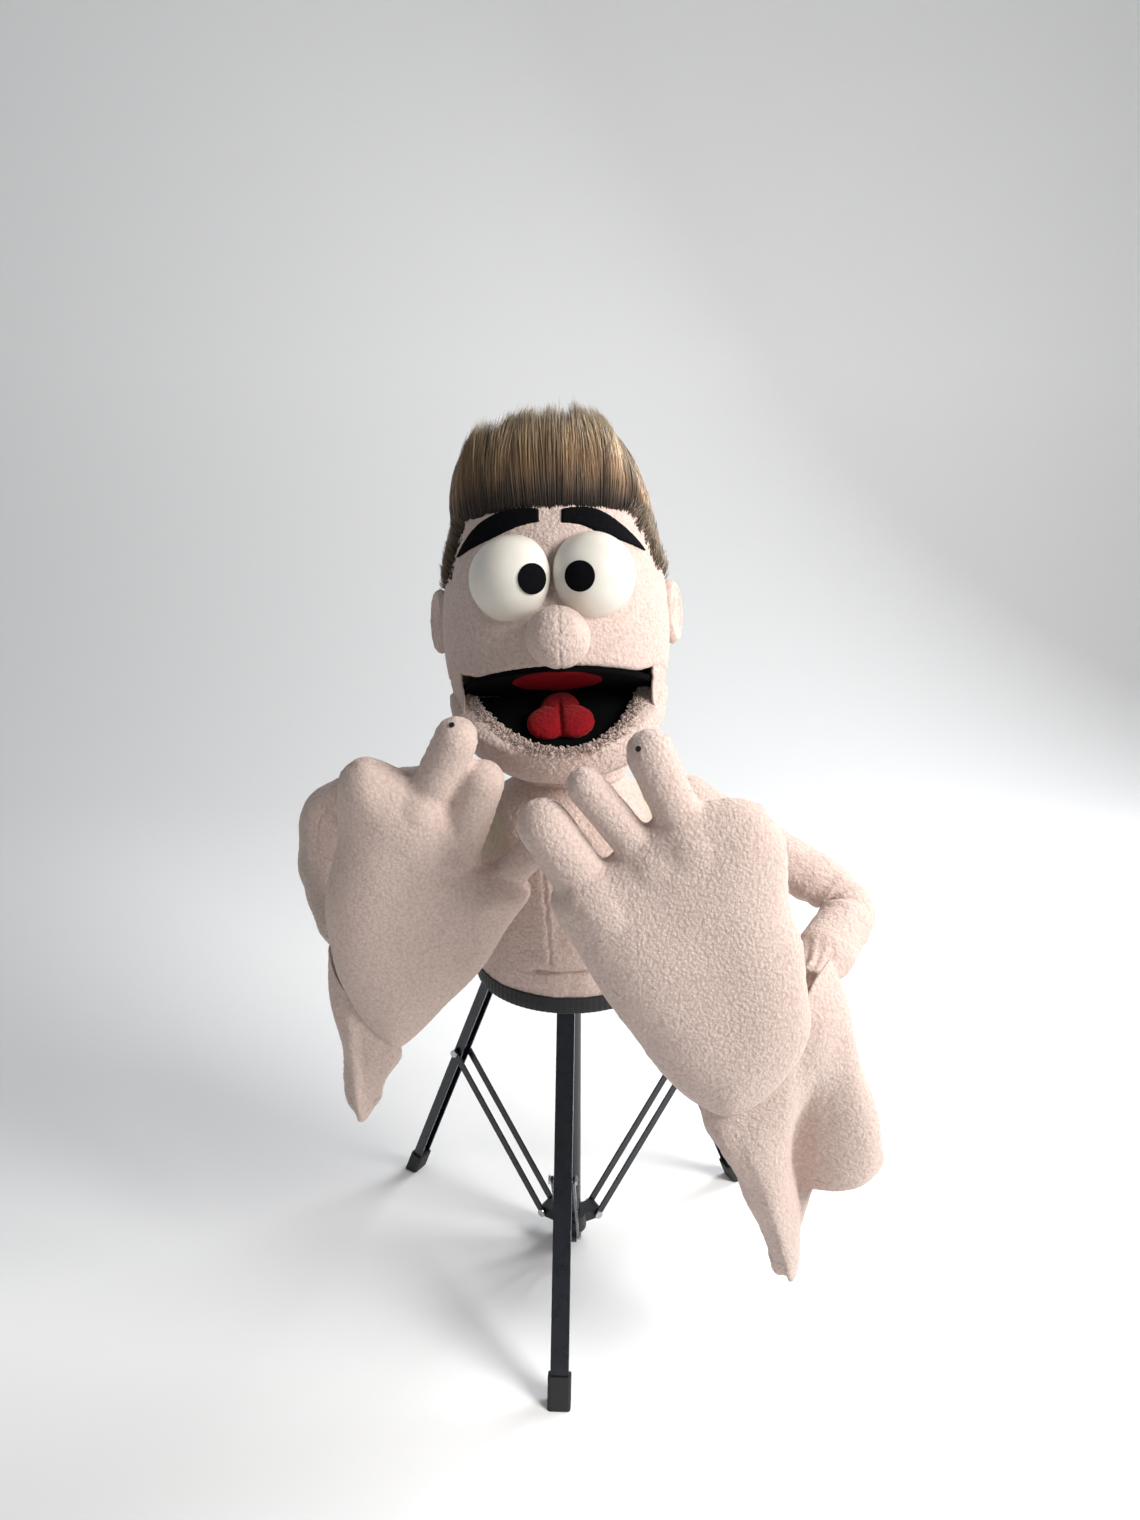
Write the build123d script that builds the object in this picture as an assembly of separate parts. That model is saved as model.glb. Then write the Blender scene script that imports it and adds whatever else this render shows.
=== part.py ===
from build123d import *
import math
import os

os.makedirs("parts", exist_ok=True)

# Stuffed fleece hand puppet (foam head, half body, two sleeved gloves) standing on a folding tripod.
# Millimetres, +Z up, origin on the floor under the column's axis, the face looks along -Y.

# ---- stand ----------------------------------------------------------------------------------
COL_OD, COL_ID = 22.0, 18.6          # column tube
COL_BOT, COL_TOP = 14.0, 508.0
POLE_OD, POLE_BOT, POLE_TOP = 18.0, 235.0, 630.0
FOOT_PLUG_BOT = 3.0
R_SP, Z_SP = 28.0, 24.0              # brace pivots on the spider
R_MID, Z_MID = 138.0, 178.0          # brace pivots on the legs
R_HUB, Z_HUB = 30.0, 438.0           # leg pivots on the hub
LEG_W, LEG_D, LEG_T = 16.0, 10.0, 1.6
BAR_W, BAR_T = 7.0, 2.0
LEG_ANGLES = {"front": -92.6, "right": 27.4, "left": 147.4}
BALL_R, BALL_Z = 30.0, 650.0

# ---- puppet ---------------------------------------------------------------------------------
HEAD = Location((-10, -18, 606)) * Rot(Y=-2.5) * Rot(X=-18)
HINGE_Y, HINGE_Z = -12.0, -14.0      # mouth fold in the head's own frame
PLATE = HEAD * Location((0, HINGE_Y, HINGE_Z)) * Rot(X=-9.5)
JAW = Location((HEAD * Location((0, HINGE_Y, HINGE_Z))).position) * Rot(Y=-2.5) * Rot(X=24)
SKIN, FOAM = 2.0, 13.0               # fleece and foam thickness
EYE_R, EYE_T = 35.0, 1.8
EYE_X, EYE_Y, EYE_Z, EYE_YAW = 31.5, -85.0, 74.0, 30.0
NOSE_R = 25.0
SHOULDER = {"left": (-90.0, 4.0, 497.0), "right": (90.0, 4.0, 497.0)}
ELBOW = {"left": (-228.0, 24.0, 476.0), "right": (253.0, -58.0, 409.0)}
FORE_MID = {"left": (-231.0, 4.0, 418.0), "right": None}
WRIST = {"left": (-190.0, -76.0, 372.0), "right": (200.0, -140.0, 384.0)}
ARM_R, ARM_TIP_R = 23.0, 13.0

out = {}


def put(name, shape):
    out[name] = shape


def rod(p, q, r, r2=None):
    """Cylinder or cone from p to q."""
    p, q = Vector(*p), Vector(*q)
    d = q - p
    pl = Plane(origin=p, z_dir=d.normalized())
    if r2 is None or abs(r2 - r) < 1e-6:
        return pl * Cylinder(r, d.length, align=(Align.CENTER, Align.CENTER, Align.MIN))
    return pl * Cone(r, r2, d.length, align=(Align.CENTER, Align.CENTER, Align.MIN))


def capsule(p, q, r):
    return rod(p, q, r) + Pos(*p) * Sphere(r) + Pos(*q) * Sphere(r)


def revolved(points):
    """Solid of revolution about Z from a smooth (r, z) profile whose ends close on flat discs or the axis."""
    pts = [(r, z) for z, r in points]
    closed = pts[-1][0] < 1e-6
    sp = Spline(*pts)
    lines = [sp]
    if not closed:
        lines.append(Line(pts[-1], (0, pts[-1][1])))
        last = (0, pts[-1][1])
    else:
        last = pts[-1]
    first = (0, pts[0][1])
    lines.append(Line(last, first))
    if pts[0][0] > 1e-6:
        lines.append(Line(first, pts[0]))
    face = make_face(Plane.XZ * Curve(lines))
    return revolve(face, Axis.Z)


# =============================================================================================
# Folding tripod. Each leg is drawn in the XZ plane (radius along +X) and turned about Z.
# =============================================================================================
put("column_tube", Pos(0, 0, COL_BOT) * (Cylinder(COL_OD / 2, COL_TOP - COL_BOT, align=(Align.CENTER, Align.CENTER, Align.MIN))
    - Cylinder(COL_ID / 2, COL_TOP - COL_BOT, align=(Align.CENTER, Align.CENTER, Align.MIN))))
plug = Pos(0, 0, FOOT_PLUG_BOT) * Cylinder(12, COL_BOT - FOOT_PLUG_BOT, align=(Align.CENTER, Align.CENTER, Align.MIN))
plug = chamfer(plug.edges().group_by(Axis.Z)[0], 1.5)
put("column_end_plug", plug)

spider = Pos(0, 0, Z_SP) * Cylinder(17, 18) - Pos(0, 0, Z_SP) * Cylinder(COL_OD / 2, 30)
sp_pins = []
for a in LEG_ANGLES.values():
    lug = Pos(22, 0, Z_SP) * Box(14, LEG_W, 12) + Pos(R_SP, 0, Z_SP) * Rot(X=90) * Cylinder(6, LEG_W)
    lug -= Pos(0, 0, Z_SP) * Cylinder(14, 30)
    lug -= Pos(R_SP, 0, Z_SP) * Rot(X=90) * Cylinder(2, 40)
    spider += Rot(Z=a) * lug
    pin = Pos(R_SP, 0, Z_SP) * Rot(X=90) * Cylinder(2, 2 * 10.9)
    for s in (-1, 1):
        pin += Pos(R_SP, s * 11.7, Z_SP) * Rot(X=90) * Cylinder(4, 1.6)
    sp_pins.append(Rot(Z=a) * pin)
put("leg_spider", spider)
put("spider_pins", Compound(children=sp_pins))

BR = math.hypot(R_MID - R_SP, Z_MID - Z_SP)
phi = math.degrees(math.atan2(R_MID - R_SP, Z_MID - Z_SP))
LG = math.hypot(R_MID - R_HUB, Z_HUB - Z_MID)
theta = math.degrees(math.atan2(R_MID - R_HUB, Z_HUB - Z_MID))
FOOT_LEN = Z_MID / math.cos(math.radians(theta))

for name, a in LEG_ANGLES.items():
    # paired flat brace bars, either side of the leg
    bars = []
    for s in (-1, 1):
        bar = Box(BAR_W, BAR_T, BR) + Pos(0, 0, BR / 2) * Rot(X=90) * Cylinder(BAR_W / 2, BAR_T) + Pos(0, 0, -BR / 2) * Rot(X=90) * Cylinder(BAR_W / 2, BAR_T)
        bar -= Pos(0, 0, BR / 2) * Rot(X=90) * Cylinder(2.4, 10)
        bar -= Pos(0, 0, -BR / 2) * Rot(X=90) * Cylinder(2.4, 10)
        bars.append(Rot(Z=a) * (Pos((R_SP + R_MID) / 2, s * 9.6, (Z_SP + Z_MID) / 2) * Rot(Y=phi) * bar))
    put("brace_bars_" + name, Compound(children=bars))

    # pressed channel leg: web outside, open side towards the column
    top, bot = LG + 9.0, FOOT_LEN - 14.0
    L = top + bot
    ch = Pos(-2.2, 0, (top - bot) / 2) * Box(LEG_D, LEG_W, L)
    ch -= Pos(-2.2 - LEG_T, 0, (top - bot) / 2) * Box(LEG_D, LEG_W - 2 * LEG_T, L + 2)
    for z in (0.0, LG):
        ch -= Pos(0, 0, z) * Rot(X=90) * Cylinder(2, 40)
    leg_loc = Rot(Z=a) * Pos(R_MID, 0, Z_MID) * Rot(Y=-theta)
    leg = leg_loc * ch
    put("leg_" + name, leg)
    riv = Rot(X=90) * Cylinder(2, 2 * 11.3)
    for s in (-1, 1):
        riv += Pos(0, s * 12.0, 0) * Rot(X=90) * Cylinder(4, 1.6)
    toppin = Pos(0, 0, LG) * Rot(X=90) * Cylinder(2, 31)
    for s in (-1, 1):
        toppin += Pos(0, s * 16.2, LG) * Rot(X=90) * Cylinder(4, 1.6)
    put("leg_rivets_" + name, Compound(children=[leg_loc * riv, leg_loc * toppin]))
    # rubber foot, cut level with the floor
    cap = Pos(-2.2, 0, -FOOT_LEN + 4) * Box(14.5, 20.5, 44)
    cap = fillet(cap.edges().filter_by(Axis.Z), 3)
    cap = leg_loc * cap - Pos(0, 0, -50) * Box(800, 800, 100)
    cap -= leg
    put("foot_cap_" + name, cap)

# sliding hub with three forked lugs; the two rear forks are slotted
hub = Pos(0, 0, Z_HUB) * (Cylinder(19, 22) - Cylinder(13.5, 40))
for name, a in LEG_ANGLES.items():
    fork = Pos(26, 0, Z_HUB) * Box(26, 25.6, 16)
    fork -= Pos(33, 0, Z_HUB) * Box(30, LEG_W + (1.2 if name == "front" else 5.2), 40)
    fork -= Pos(0, 0, Z_HUB) * Cylinder(16, 40)
    if name == "front":
        fork -= Pos(R_HUB, 0, Z_HUB) * Rot(X=90) * Cylinder(2.4, 60)
    else:
        fork -= Pos(R_HUB, 0, Z_HUB) * Box(11.6, 60, 7.4)
    hub += Rot(Z=a) * fork
HUB_KNOB_A = 87.4
screw_hole = Rot(Z=HUB_KNOB_A) * Pos(22, 0, Z_HUB) * Rot(Y=90) * Cylinder(3.4, 30)
hub -= screw_hole
put("leg_hub", hub)
k = Rot(Y=90) * (Pos(0, 0, 24) * Cylinder(3, 18) + Pos(0, 0, 36) * Cylinder(9, 12))
for i in range(8):
    k -= Rot(X=i * 45) * Pos(36, 0, 9.6) * Rot(Y=90) * Cylinder(1.8, 14)
put("hub_lock_knob", Rot(Z=HUB_KNOB_A) * (Pos(0, 0, Z_HUB) * k))

# height clamp on the column's top
col = Pos(0, 0, 514) * Cylinder(16, 26) - Pos(0, 0, 498) * Cylinder(COL_OD / 2, 20) - Pos(0, 0, 510) * Cylinder(COL_ID / 2, 60)
col += Pos(0, 18, 516) * Box(10, 10, 14) - Pos(0, 0, 510) * Cylinder(14, 60)
col -= Pos(0, 20, 516) * Rot(X=90) * Cylinder(3.4, 40)
put("height_collar", col)
hk = Rot(X=-90) * (Pos(0, 0, 17) * Cylinder(3, 15) + Pos(0, 0, 28.5) * Cylinder(8, 9))
for i in range(8):
    hk -= Rot(Y=i * 45) * Pos(8.6, 28.5, 0) * Rot(X=90) * Cylinder(1.6, 10)
put("height_knob", Pos(0, 0, 516) * hk)

pole = Pos(0, 0, POLE_BOT) * Cylinder(POLE_OD / 2, POLE_TOP - POLE_BOT, align=(Align.CENTER, Align.CENTER, Align.MIN))
pole -= Pos(0, 0, POLE_BOT) * Cylinder(POLE_OD / 2 - 1.5, POLE_TOP - POLE_BOT - 4, align=(Align.CENTER, Align.CENTER, Align.MIN))
put("inner_pole", pole)
ball = Pos(0, 0, BALL_Z) * Sphere(BALL_R) - Pos(0, 0, BALL_Z - 26 - 20) * Box(80, 80, 40)
ball -= Pos(0, 0, BALL_Z - 60) * Cylinder(POLE_OD / 2, 80)
put("head_block", ball)

# =============================================================================================
# Head, in its own frame: Z up the skull, face towards -Y, centred on the skull's axis.
# =============================================================================================
PROFILE = [(-46, 80), (-20, 88), (0, 92), (31, 96), (75, 94.5), (112, 87), (147, 75), (168, 56), (177, 30), (180, 0)]


def head_solid(off):
    return revolved([(z + (off if z > 170 else 0), max(r + off, 0) if r > 0 else 0) for z, r in PROFILE])


skin_out = head_solid(0)
skin_in = head_solid(-SKIN)
foam_in = head_solid(-SKIN - FOAM)
# everything below the roof of the mouth is cut away in front; the back of the head runs lower
plate_in_head = Location((0, HINGE_Y, HINGE_Z)) * Rot(X=-9.5)
under = plate_in_head * (Pos(0, -110, -60) * Box(260, 220, 120))
zone = under + (Pos(0, -40, -69) * Box(260, 104, 110))
eye_plugs = []
for s in (-1, 1):
    eye_plugs.append(Location((s * EYE_X, EYE_Y, EYE_Z)) * Sphere(EYE_R + 0.05))
head_skin = skin_out - skin_in - zone
head_foam = skin_in - foam_in - zone
for e in eye_plugs:
    head_skin -= e
    head_foam -= e
plate_slab = plate_in_head * (Pos(0, -60, 2) * Box(260, 118, 4))
head_foam -= plate_slab
bottom_open = Pos(0, 0, -60) * Cylinder(72, 40)
head_foam -= bottom_open
head_skin -= bottom_open
put("head_skin", HEAD * head_skin)
put("skull_foam", HEAD * head_foam)

uplate = plate_slab & (skin_in)
uplate = uplate - (plate_in_head * (Pos(0, 60, 0) * Box(260, 122, 60)))
put("upper_mouth_plate", HEAD * uplate)
palate = plate_in_head * (Pos(0, -48, -0.7) * extrude(Ellipse(37, 33), 0.7)) 
put("palate_patch", HEAD * palate)
strip = plate_in_head * (Pos(0, -5, 4.6) * Box(140, 14, 1.2) + Pos(0, 1.4, 2.75) * Box(140, 1.2, 4.9))
put("mouth_hinge_strip", HEAD * strip)
pocket = Pos(0, -55, 24) * Box(96, 48, 26)
pocket = fillet(pocket.edges().filter_by(Axis.Y), 9)
pocket -= Pos(0, -51, 24) * Box(88, 48, 18)
pocket = pocket & foam_in
put("finger_pocket", HEAD * pocket)

bl = HEAD.inverse() * Location((0, 0, BALL_Z))
bx, by, bz = bl.position.X, bl.position.Y, bl.position.Z
pad = Pos(bx, by, bz + 58) * Cylinder(38, 100) & foam_in
pad -= Pos(bx, by, bz) * Sphere(BALL_R + 0.5)
pad -= Pos(bx, by, bz - 38) * Box(120, 120, 90)
put("crown_pad", HEAD * pad)

nose = Pos(3.5, -111, 23) * Sphere(NOSE_R) - skin_out
nose -= eye_plugs[0]
nose -= eye_plugs[1]
put("nose", HEAD * nose)
for s, side in ((-1, "left"), (1, "right")):
    yaw = s * EYE_YAW
    dome = Sphere(EYE_R) - Sphere(EYE_R - EYE_T) - Pos(0, 50, 0) * Box(100, 100, 100)
    loc = Location((s * EYE_X, EYE_Y, EYE_Z)) * Rot(Z=yaw)
    put("eye_dome_" + side, HEAD * (loc * dome))
    dx = 17.5 if s < 0 else -10.0
    pl = Location((s * EYE_X, EYE_Y, EYE_Z)) * Rot(Z=math.degrees(math.asin(dx / EYE_R))) * Rot(X=8.5)
    pup = (Sphere(EYE_R + 1.5) - Sphere(EYE_R + 0.05)) & (Rot(X=90) * Pos(0, 0, 25) * Cylinder(12, 50))
    put("pupil_" + side, HEAD * (pl * pup))
    ear = Pos(s * 100, 3, 54) * Rot(Z=-24 * s) * Rot(Y=90) * extrude(Ellipse(28, 17), 7, both=True)
    ear = fillet(ear.edges(), 5)
    put("ear_" + side, HEAD * (ear - skin_out))

BROW = {
    "left": [(-8.5, 116), (-8.3, 129), (-23.6, 131), (-38.5, 130), (-50.5, 126.5), (-62, 119.5), (-71, 109.5), (-76.5, 99.5), (-70, 101.5), (-62, 104), (-50, 107.5), (-36, 112), (-22, 114.5)],
    "right": [(9, 114.5), (9.2, 128), (26.7, 130), (38.6, 128), (50, 122), (62, 112.5), (70, 104), (74.5, 97.5), (62, 101), (50, 104), (38, 108.5), (26, 112)],
}
brow_out = head_solid(2.4)
brow_in = head_solid(0.05)
for side, pts in BROW.items():
    wire = make_face(Plane.XZ * Polyline(*pts, close=True))
    prism = extrude(wire, 130, dir=(0, -1, 0))
    b = (brow_out - brow_in) & prism
    for e in eye_plugs:
        b -= e
    put("brow_" + side, HEAD * b)

HAIR = [(128, 84), (150, 88), (175, 83), (198, 72), (216, 56), (228, 32), (232, 0)]
hair = revolved(HAIR) - head_solid(0.1)
hair = hair - Pos(0, -140, 120) * Box(300, 120, 24)
for s in ("left", "right"):
    hair -= extrude(make_face(Plane.XZ * Polyline(*BROW[s], close=True)), 130, dir=(0, -1, 0))
put("hair_quiff", HEAD * hair)
fur = head_solid(9) - head_solid(0.1)
fur = fur & (Pos(0, 33, 94) * Box(260, 130, 67.5) + Pos(0, 90, 20) * Box(260, 116, 90))
fur = fur - revolved(HAIR) - Pos(0, 0, 138) * Box(300, 300, 20)
for s in (-1, 1):
    fur -= Pos(s * 100, 3, 54) * Rot(Z=-24 * s) * Rot(Y=90) * extrude(Ellipse(29, 18), 12, both=True)
put("hair_back", HEAD * fur)

# =============================================================================================
# Jaw, in its own frame: hinge along X at the origin, plate towards -Y, depth towards -Z.
# =============================================================================================
JAWP = [(-60, 0), (-58, 34), (-50, 60), (-36, 80), (-18, 91), (0, 92)]


def jaw_solid(off):
    pts = [(z + (off if r > 0 else off), max(r - off, 0) if r > 0 else 0) for z, r in JAWP[:-1]] + [(0, JAWP[-1][1] - off)]
    return Pos(0, 6, 0) * revolved(pts)


# the throat side is cut back on a slope so that the jaw clears the pole when it drops
rear_cut = Pos(0, -4, 0) * Rot(X=-31) * (Pos(0, 100, -40) * Box(260, 200, 260))
j_out, j_mid, j_in = jaw_solid(0), jaw_solid(SKIN), jaw_solid(SKIN + FOAM)
jaw_skin = j_out - j_mid - rear_cut
jaw_skin -= Pos(0, 0, 3) * Box(300, 300, 6)
lplate = (Pos(0, -60, -2) * Box(260, 117, 4)) & j_mid
jaw_foam = j_mid - j_in - rear_cut - Pos(0, 0, 0) * Box(300, 300, 8)
put("jaw_skin", JAW * jaw_skin)
put("jaw_foam", JAW * jaw_foam)
put("lower_mouth_plate", JAW * lplate)
tongue_side = make_face(Plane.YZ * Polyline((-10, 0), (-16, 3), (-38, 8), (-56, 10), (-64, 6), (-65, 0), close=True))
tongue = extrude(tongue_side, 27, both=True)
tongue = tongue & (Pos(0, -46, 0) * Cylinder(19, 60) + Pos(-11, -44, 0) * Cylinder(18, 60) + Pos(13, -44, 0) * Cylinder(18, 60) + Pos(0, -25, 0) * Box(26, 34, 60))
put("tongue", JAW * tongue)
tp = Pos(0, -44, -14) * Box(52, 44, 20)
tp -= Pos(0, -40, -14) * Box(44, 44, 13)
put("thumb_pocket", JAW * (tp & jaw_solid(SKIN + FOAM + 0.2)))

# =============================================================================================
# Body
# =============================================================================================
neck = Pos(0, 0, 512) * Cylinder(47, 30) - Pos(0, 0, 512) * Cylinder(39, 40)
neck -= Pos(0, -60, 560) * Box(140, 104, 104)
put("neck_tube", neck)


BODY = [(332, 88.6), (360, 89), (410, 88.4), (450, 87), (480, 80), (495, 68), (503, 56)]


def body_solid(off):
    pts = [(z - (off if z == 503 else 0), r - off) for z, r in BODY]
    return revolved(pts)


b_out, b_mid, b_in = body_solid(0), body_solid(SKIN), body_solid(SKIN + 11)
hole = Pos(0, 0, 500) * Cylinder(47.8, 60)
put("torso_skin", b_out - b_mid - hole)
put("torso_foam", (b_mid - b_in - hole) & (Pos(0, 0, 460) * Box(400, 400, 200)))
hem = Pos(0, 0, 324) * (Cylinder(89, 16) - Cylinder(86.2, 30))
put("hem_band", hem)

# gloves: palm slab and stuffed fingers, each on its own leaning plane
GLOVE = {
    "left": dict(plane=(-150.0, 600.0, 0.157), T=38, stud=(-89, 604), stud_on=0,
        palm=[(-180, 562), (-161, 575), (-125, 559), (-95, 537), (-76, 486), (-45, 471), (-30, 454), (-42, 435), (-71, 382), (-119, 324), (-151, 293), (-180, 318), (-200, 379), (-204, 426), (-200, 460), (-188, 497), (-185, 528)],
        fingers=[((-87, 591), (-114, 537), 17), ((-68, 554), (-89, 492), 17), ((-24, 497), (-66, 454), 14)]),
    "right": dict(plane=(-184.0, 585.0, 0.07), T=44, stud=(50, 597), stud_on=2,
        palm=[(-8, 490), (32, 510), (64, 539), (97, 552), (123, 555), (145, 549), (161, 523), (165, 476), (177, 442), (188, 372), (182, 345), (151, 306), (124, 293), (96, 308), (63, 345), (23, 405), (-4, 451), (-16, 475)],
        fingers=[((-20, 535), (23, 471), 20), ((11, 565), (60, 507), 14), ((59, 590), (90, 523), 17)]),
}


def glove_pt(side, x, z):
    y0, z0, k = GLOVE[side]["plane"]
    s = 1 if side == "left" else -1
    return (x, y0 + s * k * (z0 - z), z)


for side, g in GLOVE.items():
    y0, z0, k = g["plane"]
    s = 1 if side == "left" else -1
    n = Vector(0, -1, -s * k).normalized()
    pts = [Vector(*glove_pt(side, x, z)) for x, z in g["palm"]]
    face = make_face(Polyline(*pts, close=True))
    slab = extrude(face, g["T"] / 2, dir=n, both=True)
    try:
        slab = fillet(slab.edges(), 9)
    except Exception:
        pass
    for (xa, za), (xb, zb), r in g["fingers"]:
        slab += capsule(glove_pt(side, xa, za), glove_pt(side, xb, zb), r)
    put("glove_" + side, slab)
    (xa, za), _, r = g["fingers"][g["stud_on"]]
    c = Vector(*glove_pt(side, xa, za))
    dx, dz = g["stud"][0] - xa, g["stud"][1] - za
    u = Vector(dx, -math.sqrt(r * r - dx * dx - dz * dz), dz).normalized()
    stud = Plane(origin=c + u * (r + 0.2), z_dir=u) * Cylinder(2.2, 2.4)
    put("finger_stud_" + side, stud - slab)


def arm_piece(p, q, gap_p, gap_q, r, rp, rq, taper):
    """Stuffed tube from p to q, narrowed towards its joints."""
    p, q = Vector(*p), Vector(*q)
    d = (q - p).normalized()
    a, b = p + d * gap_p, q - d * gap_q
    a2, b2 = a + d * taper, b - d * taper
    s = rod(a, a2, rp, r) + rod(a2, b2, r) + rod(b2, b, r, rq)
    s += Pos(*a) * Sphere(rp)
    s += Pos(*b) * Sphere(rq)
    return s


for side in ("left", "right"):
    put("upper_arm_" + side, arm_piece(SHOULDER[side], ELBOW[side], 18, 24, ARM_R, 15, ARM_TIP_R, 26))
    mid = FORE_MID[side]
    if mid:
        fore = arm_piece(ELBOW[side], mid, 24, 0, 22, ARM_TIP_R, 22, 20) + arm_piece(mid, WRIST[side], 0, 14, 22, 22, 12, 28)
    else:
        fore = arm_piece(ELBOW[side], WRIST[side], 24, 14, 21.5, ARM_TIP_R, 12, 28)
    put("forearm_" + side, fore)

# open fleece cuffs below each glove: thin tapering sleeves
# (wrist centre, wrist long axis, wrist normal, half sizes), (hem centre, long axis, normal, half sizes)
CUFF = {
    "left": (((-180, -112, 340), (0.52, 0, -0.85), (-0.85, 0, -0.52), (46, 15)), ((-186, -104, 246), (1, 0, 0), (0, 0, -1), (17, 27))),
    "right": (((158, -198, 306), (0.866, 0, 0.5), (0.5, 0, -0.866), (42, 18)), ((212, -186, 192), (0.74, 0, 0.67), (0.67, 0, -0.74), (60, 26))),
}
CUFF_T = 3.0
for side, ends in CUFF.items():
    o, i = [], []
    for n, (c, xd, zd, (ra, rb)) in enumerate(ends):
        zv = Vector(*zd).normalized()
        o.append(Plane(origin=c, x_dir=xd, z_dir=zd) * Ellipse(ra, rb))
        i.append(Plane(origin=Vector(*c) + zv * (2 * n - 1), x_dir=xd, z_dir=zd) * Ellipse(ra - CUFF_T, rb - CUFF_T))
    cuff = loft(o) - loft(i)
    parts = (cuff - out["glove_" + side] - out["forearm_" + side]).solids()
    put("cuff_" + side, max(parts, key=lambda s: s.volume))

for name, shape in out.items():
    export_step(shape if isinstance(shape, (Compound, Part, Solid)) else Part(shape), f"parts/{name}.step")
    print(name, round(shape.volume, 1))
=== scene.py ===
import bpy, math
import numpy as np
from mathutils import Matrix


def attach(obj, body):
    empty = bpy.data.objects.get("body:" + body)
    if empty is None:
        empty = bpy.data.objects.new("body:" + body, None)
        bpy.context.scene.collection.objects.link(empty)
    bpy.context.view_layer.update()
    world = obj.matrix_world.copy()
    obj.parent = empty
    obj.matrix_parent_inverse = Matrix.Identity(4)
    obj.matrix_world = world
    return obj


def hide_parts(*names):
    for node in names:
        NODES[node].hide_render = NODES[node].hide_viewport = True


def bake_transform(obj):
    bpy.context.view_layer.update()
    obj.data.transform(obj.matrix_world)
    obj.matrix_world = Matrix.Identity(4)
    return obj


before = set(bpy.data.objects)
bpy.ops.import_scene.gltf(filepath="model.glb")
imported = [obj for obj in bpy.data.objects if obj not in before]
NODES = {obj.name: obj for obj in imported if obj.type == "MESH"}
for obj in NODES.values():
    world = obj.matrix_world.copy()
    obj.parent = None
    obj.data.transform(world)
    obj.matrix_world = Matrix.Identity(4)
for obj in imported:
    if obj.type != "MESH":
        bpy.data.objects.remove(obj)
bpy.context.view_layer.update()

scene = bpy.context.scene
MM = 0.001

# ------------------------------------------------------------------ camera, floor, light
cam = bpy.data.objects.new("camera", bpy.data.cameras.new("camera"))
scene.collection.objects.link(cam)
cam.location = (0, -0.985, 0.845)
cam.rotation_euler = (math.radians(72), 0, 0)
cam.data.lens = 27.02
cam.data.sensor_width = 36
scene.camera = cam
scene.view_settings.view_transform = "Standard"

world = bpy.data.worlds.new("studio")
scene.world = world
world.use_nodes = True
world.node_tree.nodes["Background"].inputs[0].default_value = (0.95, 0.97, 1.0, 1)
world.node_tree.nodes["Background"].inputs[1].default_value = 0.30


def area(name, loc, target, size, power, color):
    l = bpy.data.lights.new(name, "AREA")
    l.shape, l.size, l.energy, l.color = "DISK", size, power, color
    o = bpy.data.objects.new(name, l)
    scene.collection.objects.link(o)
    o.location = loc
    d = np.array(target, float) - np.array(loc, float)
    from mathutils import Vector
    o.rotation_euler = Vector(d).to_track_quat("-Z", "Y").to_euler()
    return o


area("key", (1.25, -0.75, 1.35), (0.05, -0.1, 0.5), 0.8, 35, (1.0, 0.985, 0.96))
area("rim", (1.2, 0.9, 1.4), (0.05, 0, 0.55), 0.9, 24, (0.96, 0.98, 1.0))
area("fill", (-1.3, -1.3, 1.0), (0, 0, 0.5), 1.4, 0.8, (0.9, 0.95, 1.0))

# ------------------------------------------------------------------ small numeric tools
_T = np.random.default_rng(7).random((64, 64, 64)) * 2 - 1


def vnoise(P, size, k=0):
    """Smooth lattice noise in -1..1 at points P (n, 3), with features about `size` across."""
    Q = np.asarray(P, float) / size + 17.3 + 31.7 * k
    i = np.floor(Q).astype(int)
    f = Q - i
    f = f * f * (3 - 2 * f)
    r = 0
    for a in (0, 1):
        wa = f[:, 0] if a else 1 - f[:, 0]
        for b in (0, 1):
            wb = f[:, 1] if b else 1 - f[:, 1]
            for c in (0, 1):
                wc = f[:, 2] if c else 1 - f[:, 2]
                r = r + wa * wb * wc * _T[(i[:, 0] + a) & 63, (i[:, 1] + b) & 63, (i[:, 2] + c) & 63]
    return r


def rot(axis, deg):
    a = math.radians(deg)
    c, s = math.cos(a), math.sin(a)
    m = np.eye(4)
    if axis == "X":
        m[1:3, 1:3] = [[c, -s], [s, c]]
    elif axis == "Y":
        m[0, 0], m[0, 2], m[2, 0], m[2, 2] = c, s, -s, c
    else:
        m[0:2, 0:2] = [[c, -s], [s, c]]
    return m


def pos(x, y, z):
    m = np.eye(4)
    m[:3, 3] = (x, y, z)
    return m


def tf(M, P):
    P = np.asarray(P, float)
    return P @ M[:3, :3].T + M[:3, 3]


HEAD = pos(-10, -18, 606) @ rot("Y", -2.5) @ rot("X", -18)
PLATE = HEAD @ pos(0, -12, -14) @ rot("X", -9.5)
_h = tf(HEAD, [(0, -12, -14)])[0]
JAW = pos(*_h) @ rot("Y", -2.5) @ rot("X", 24)


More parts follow.
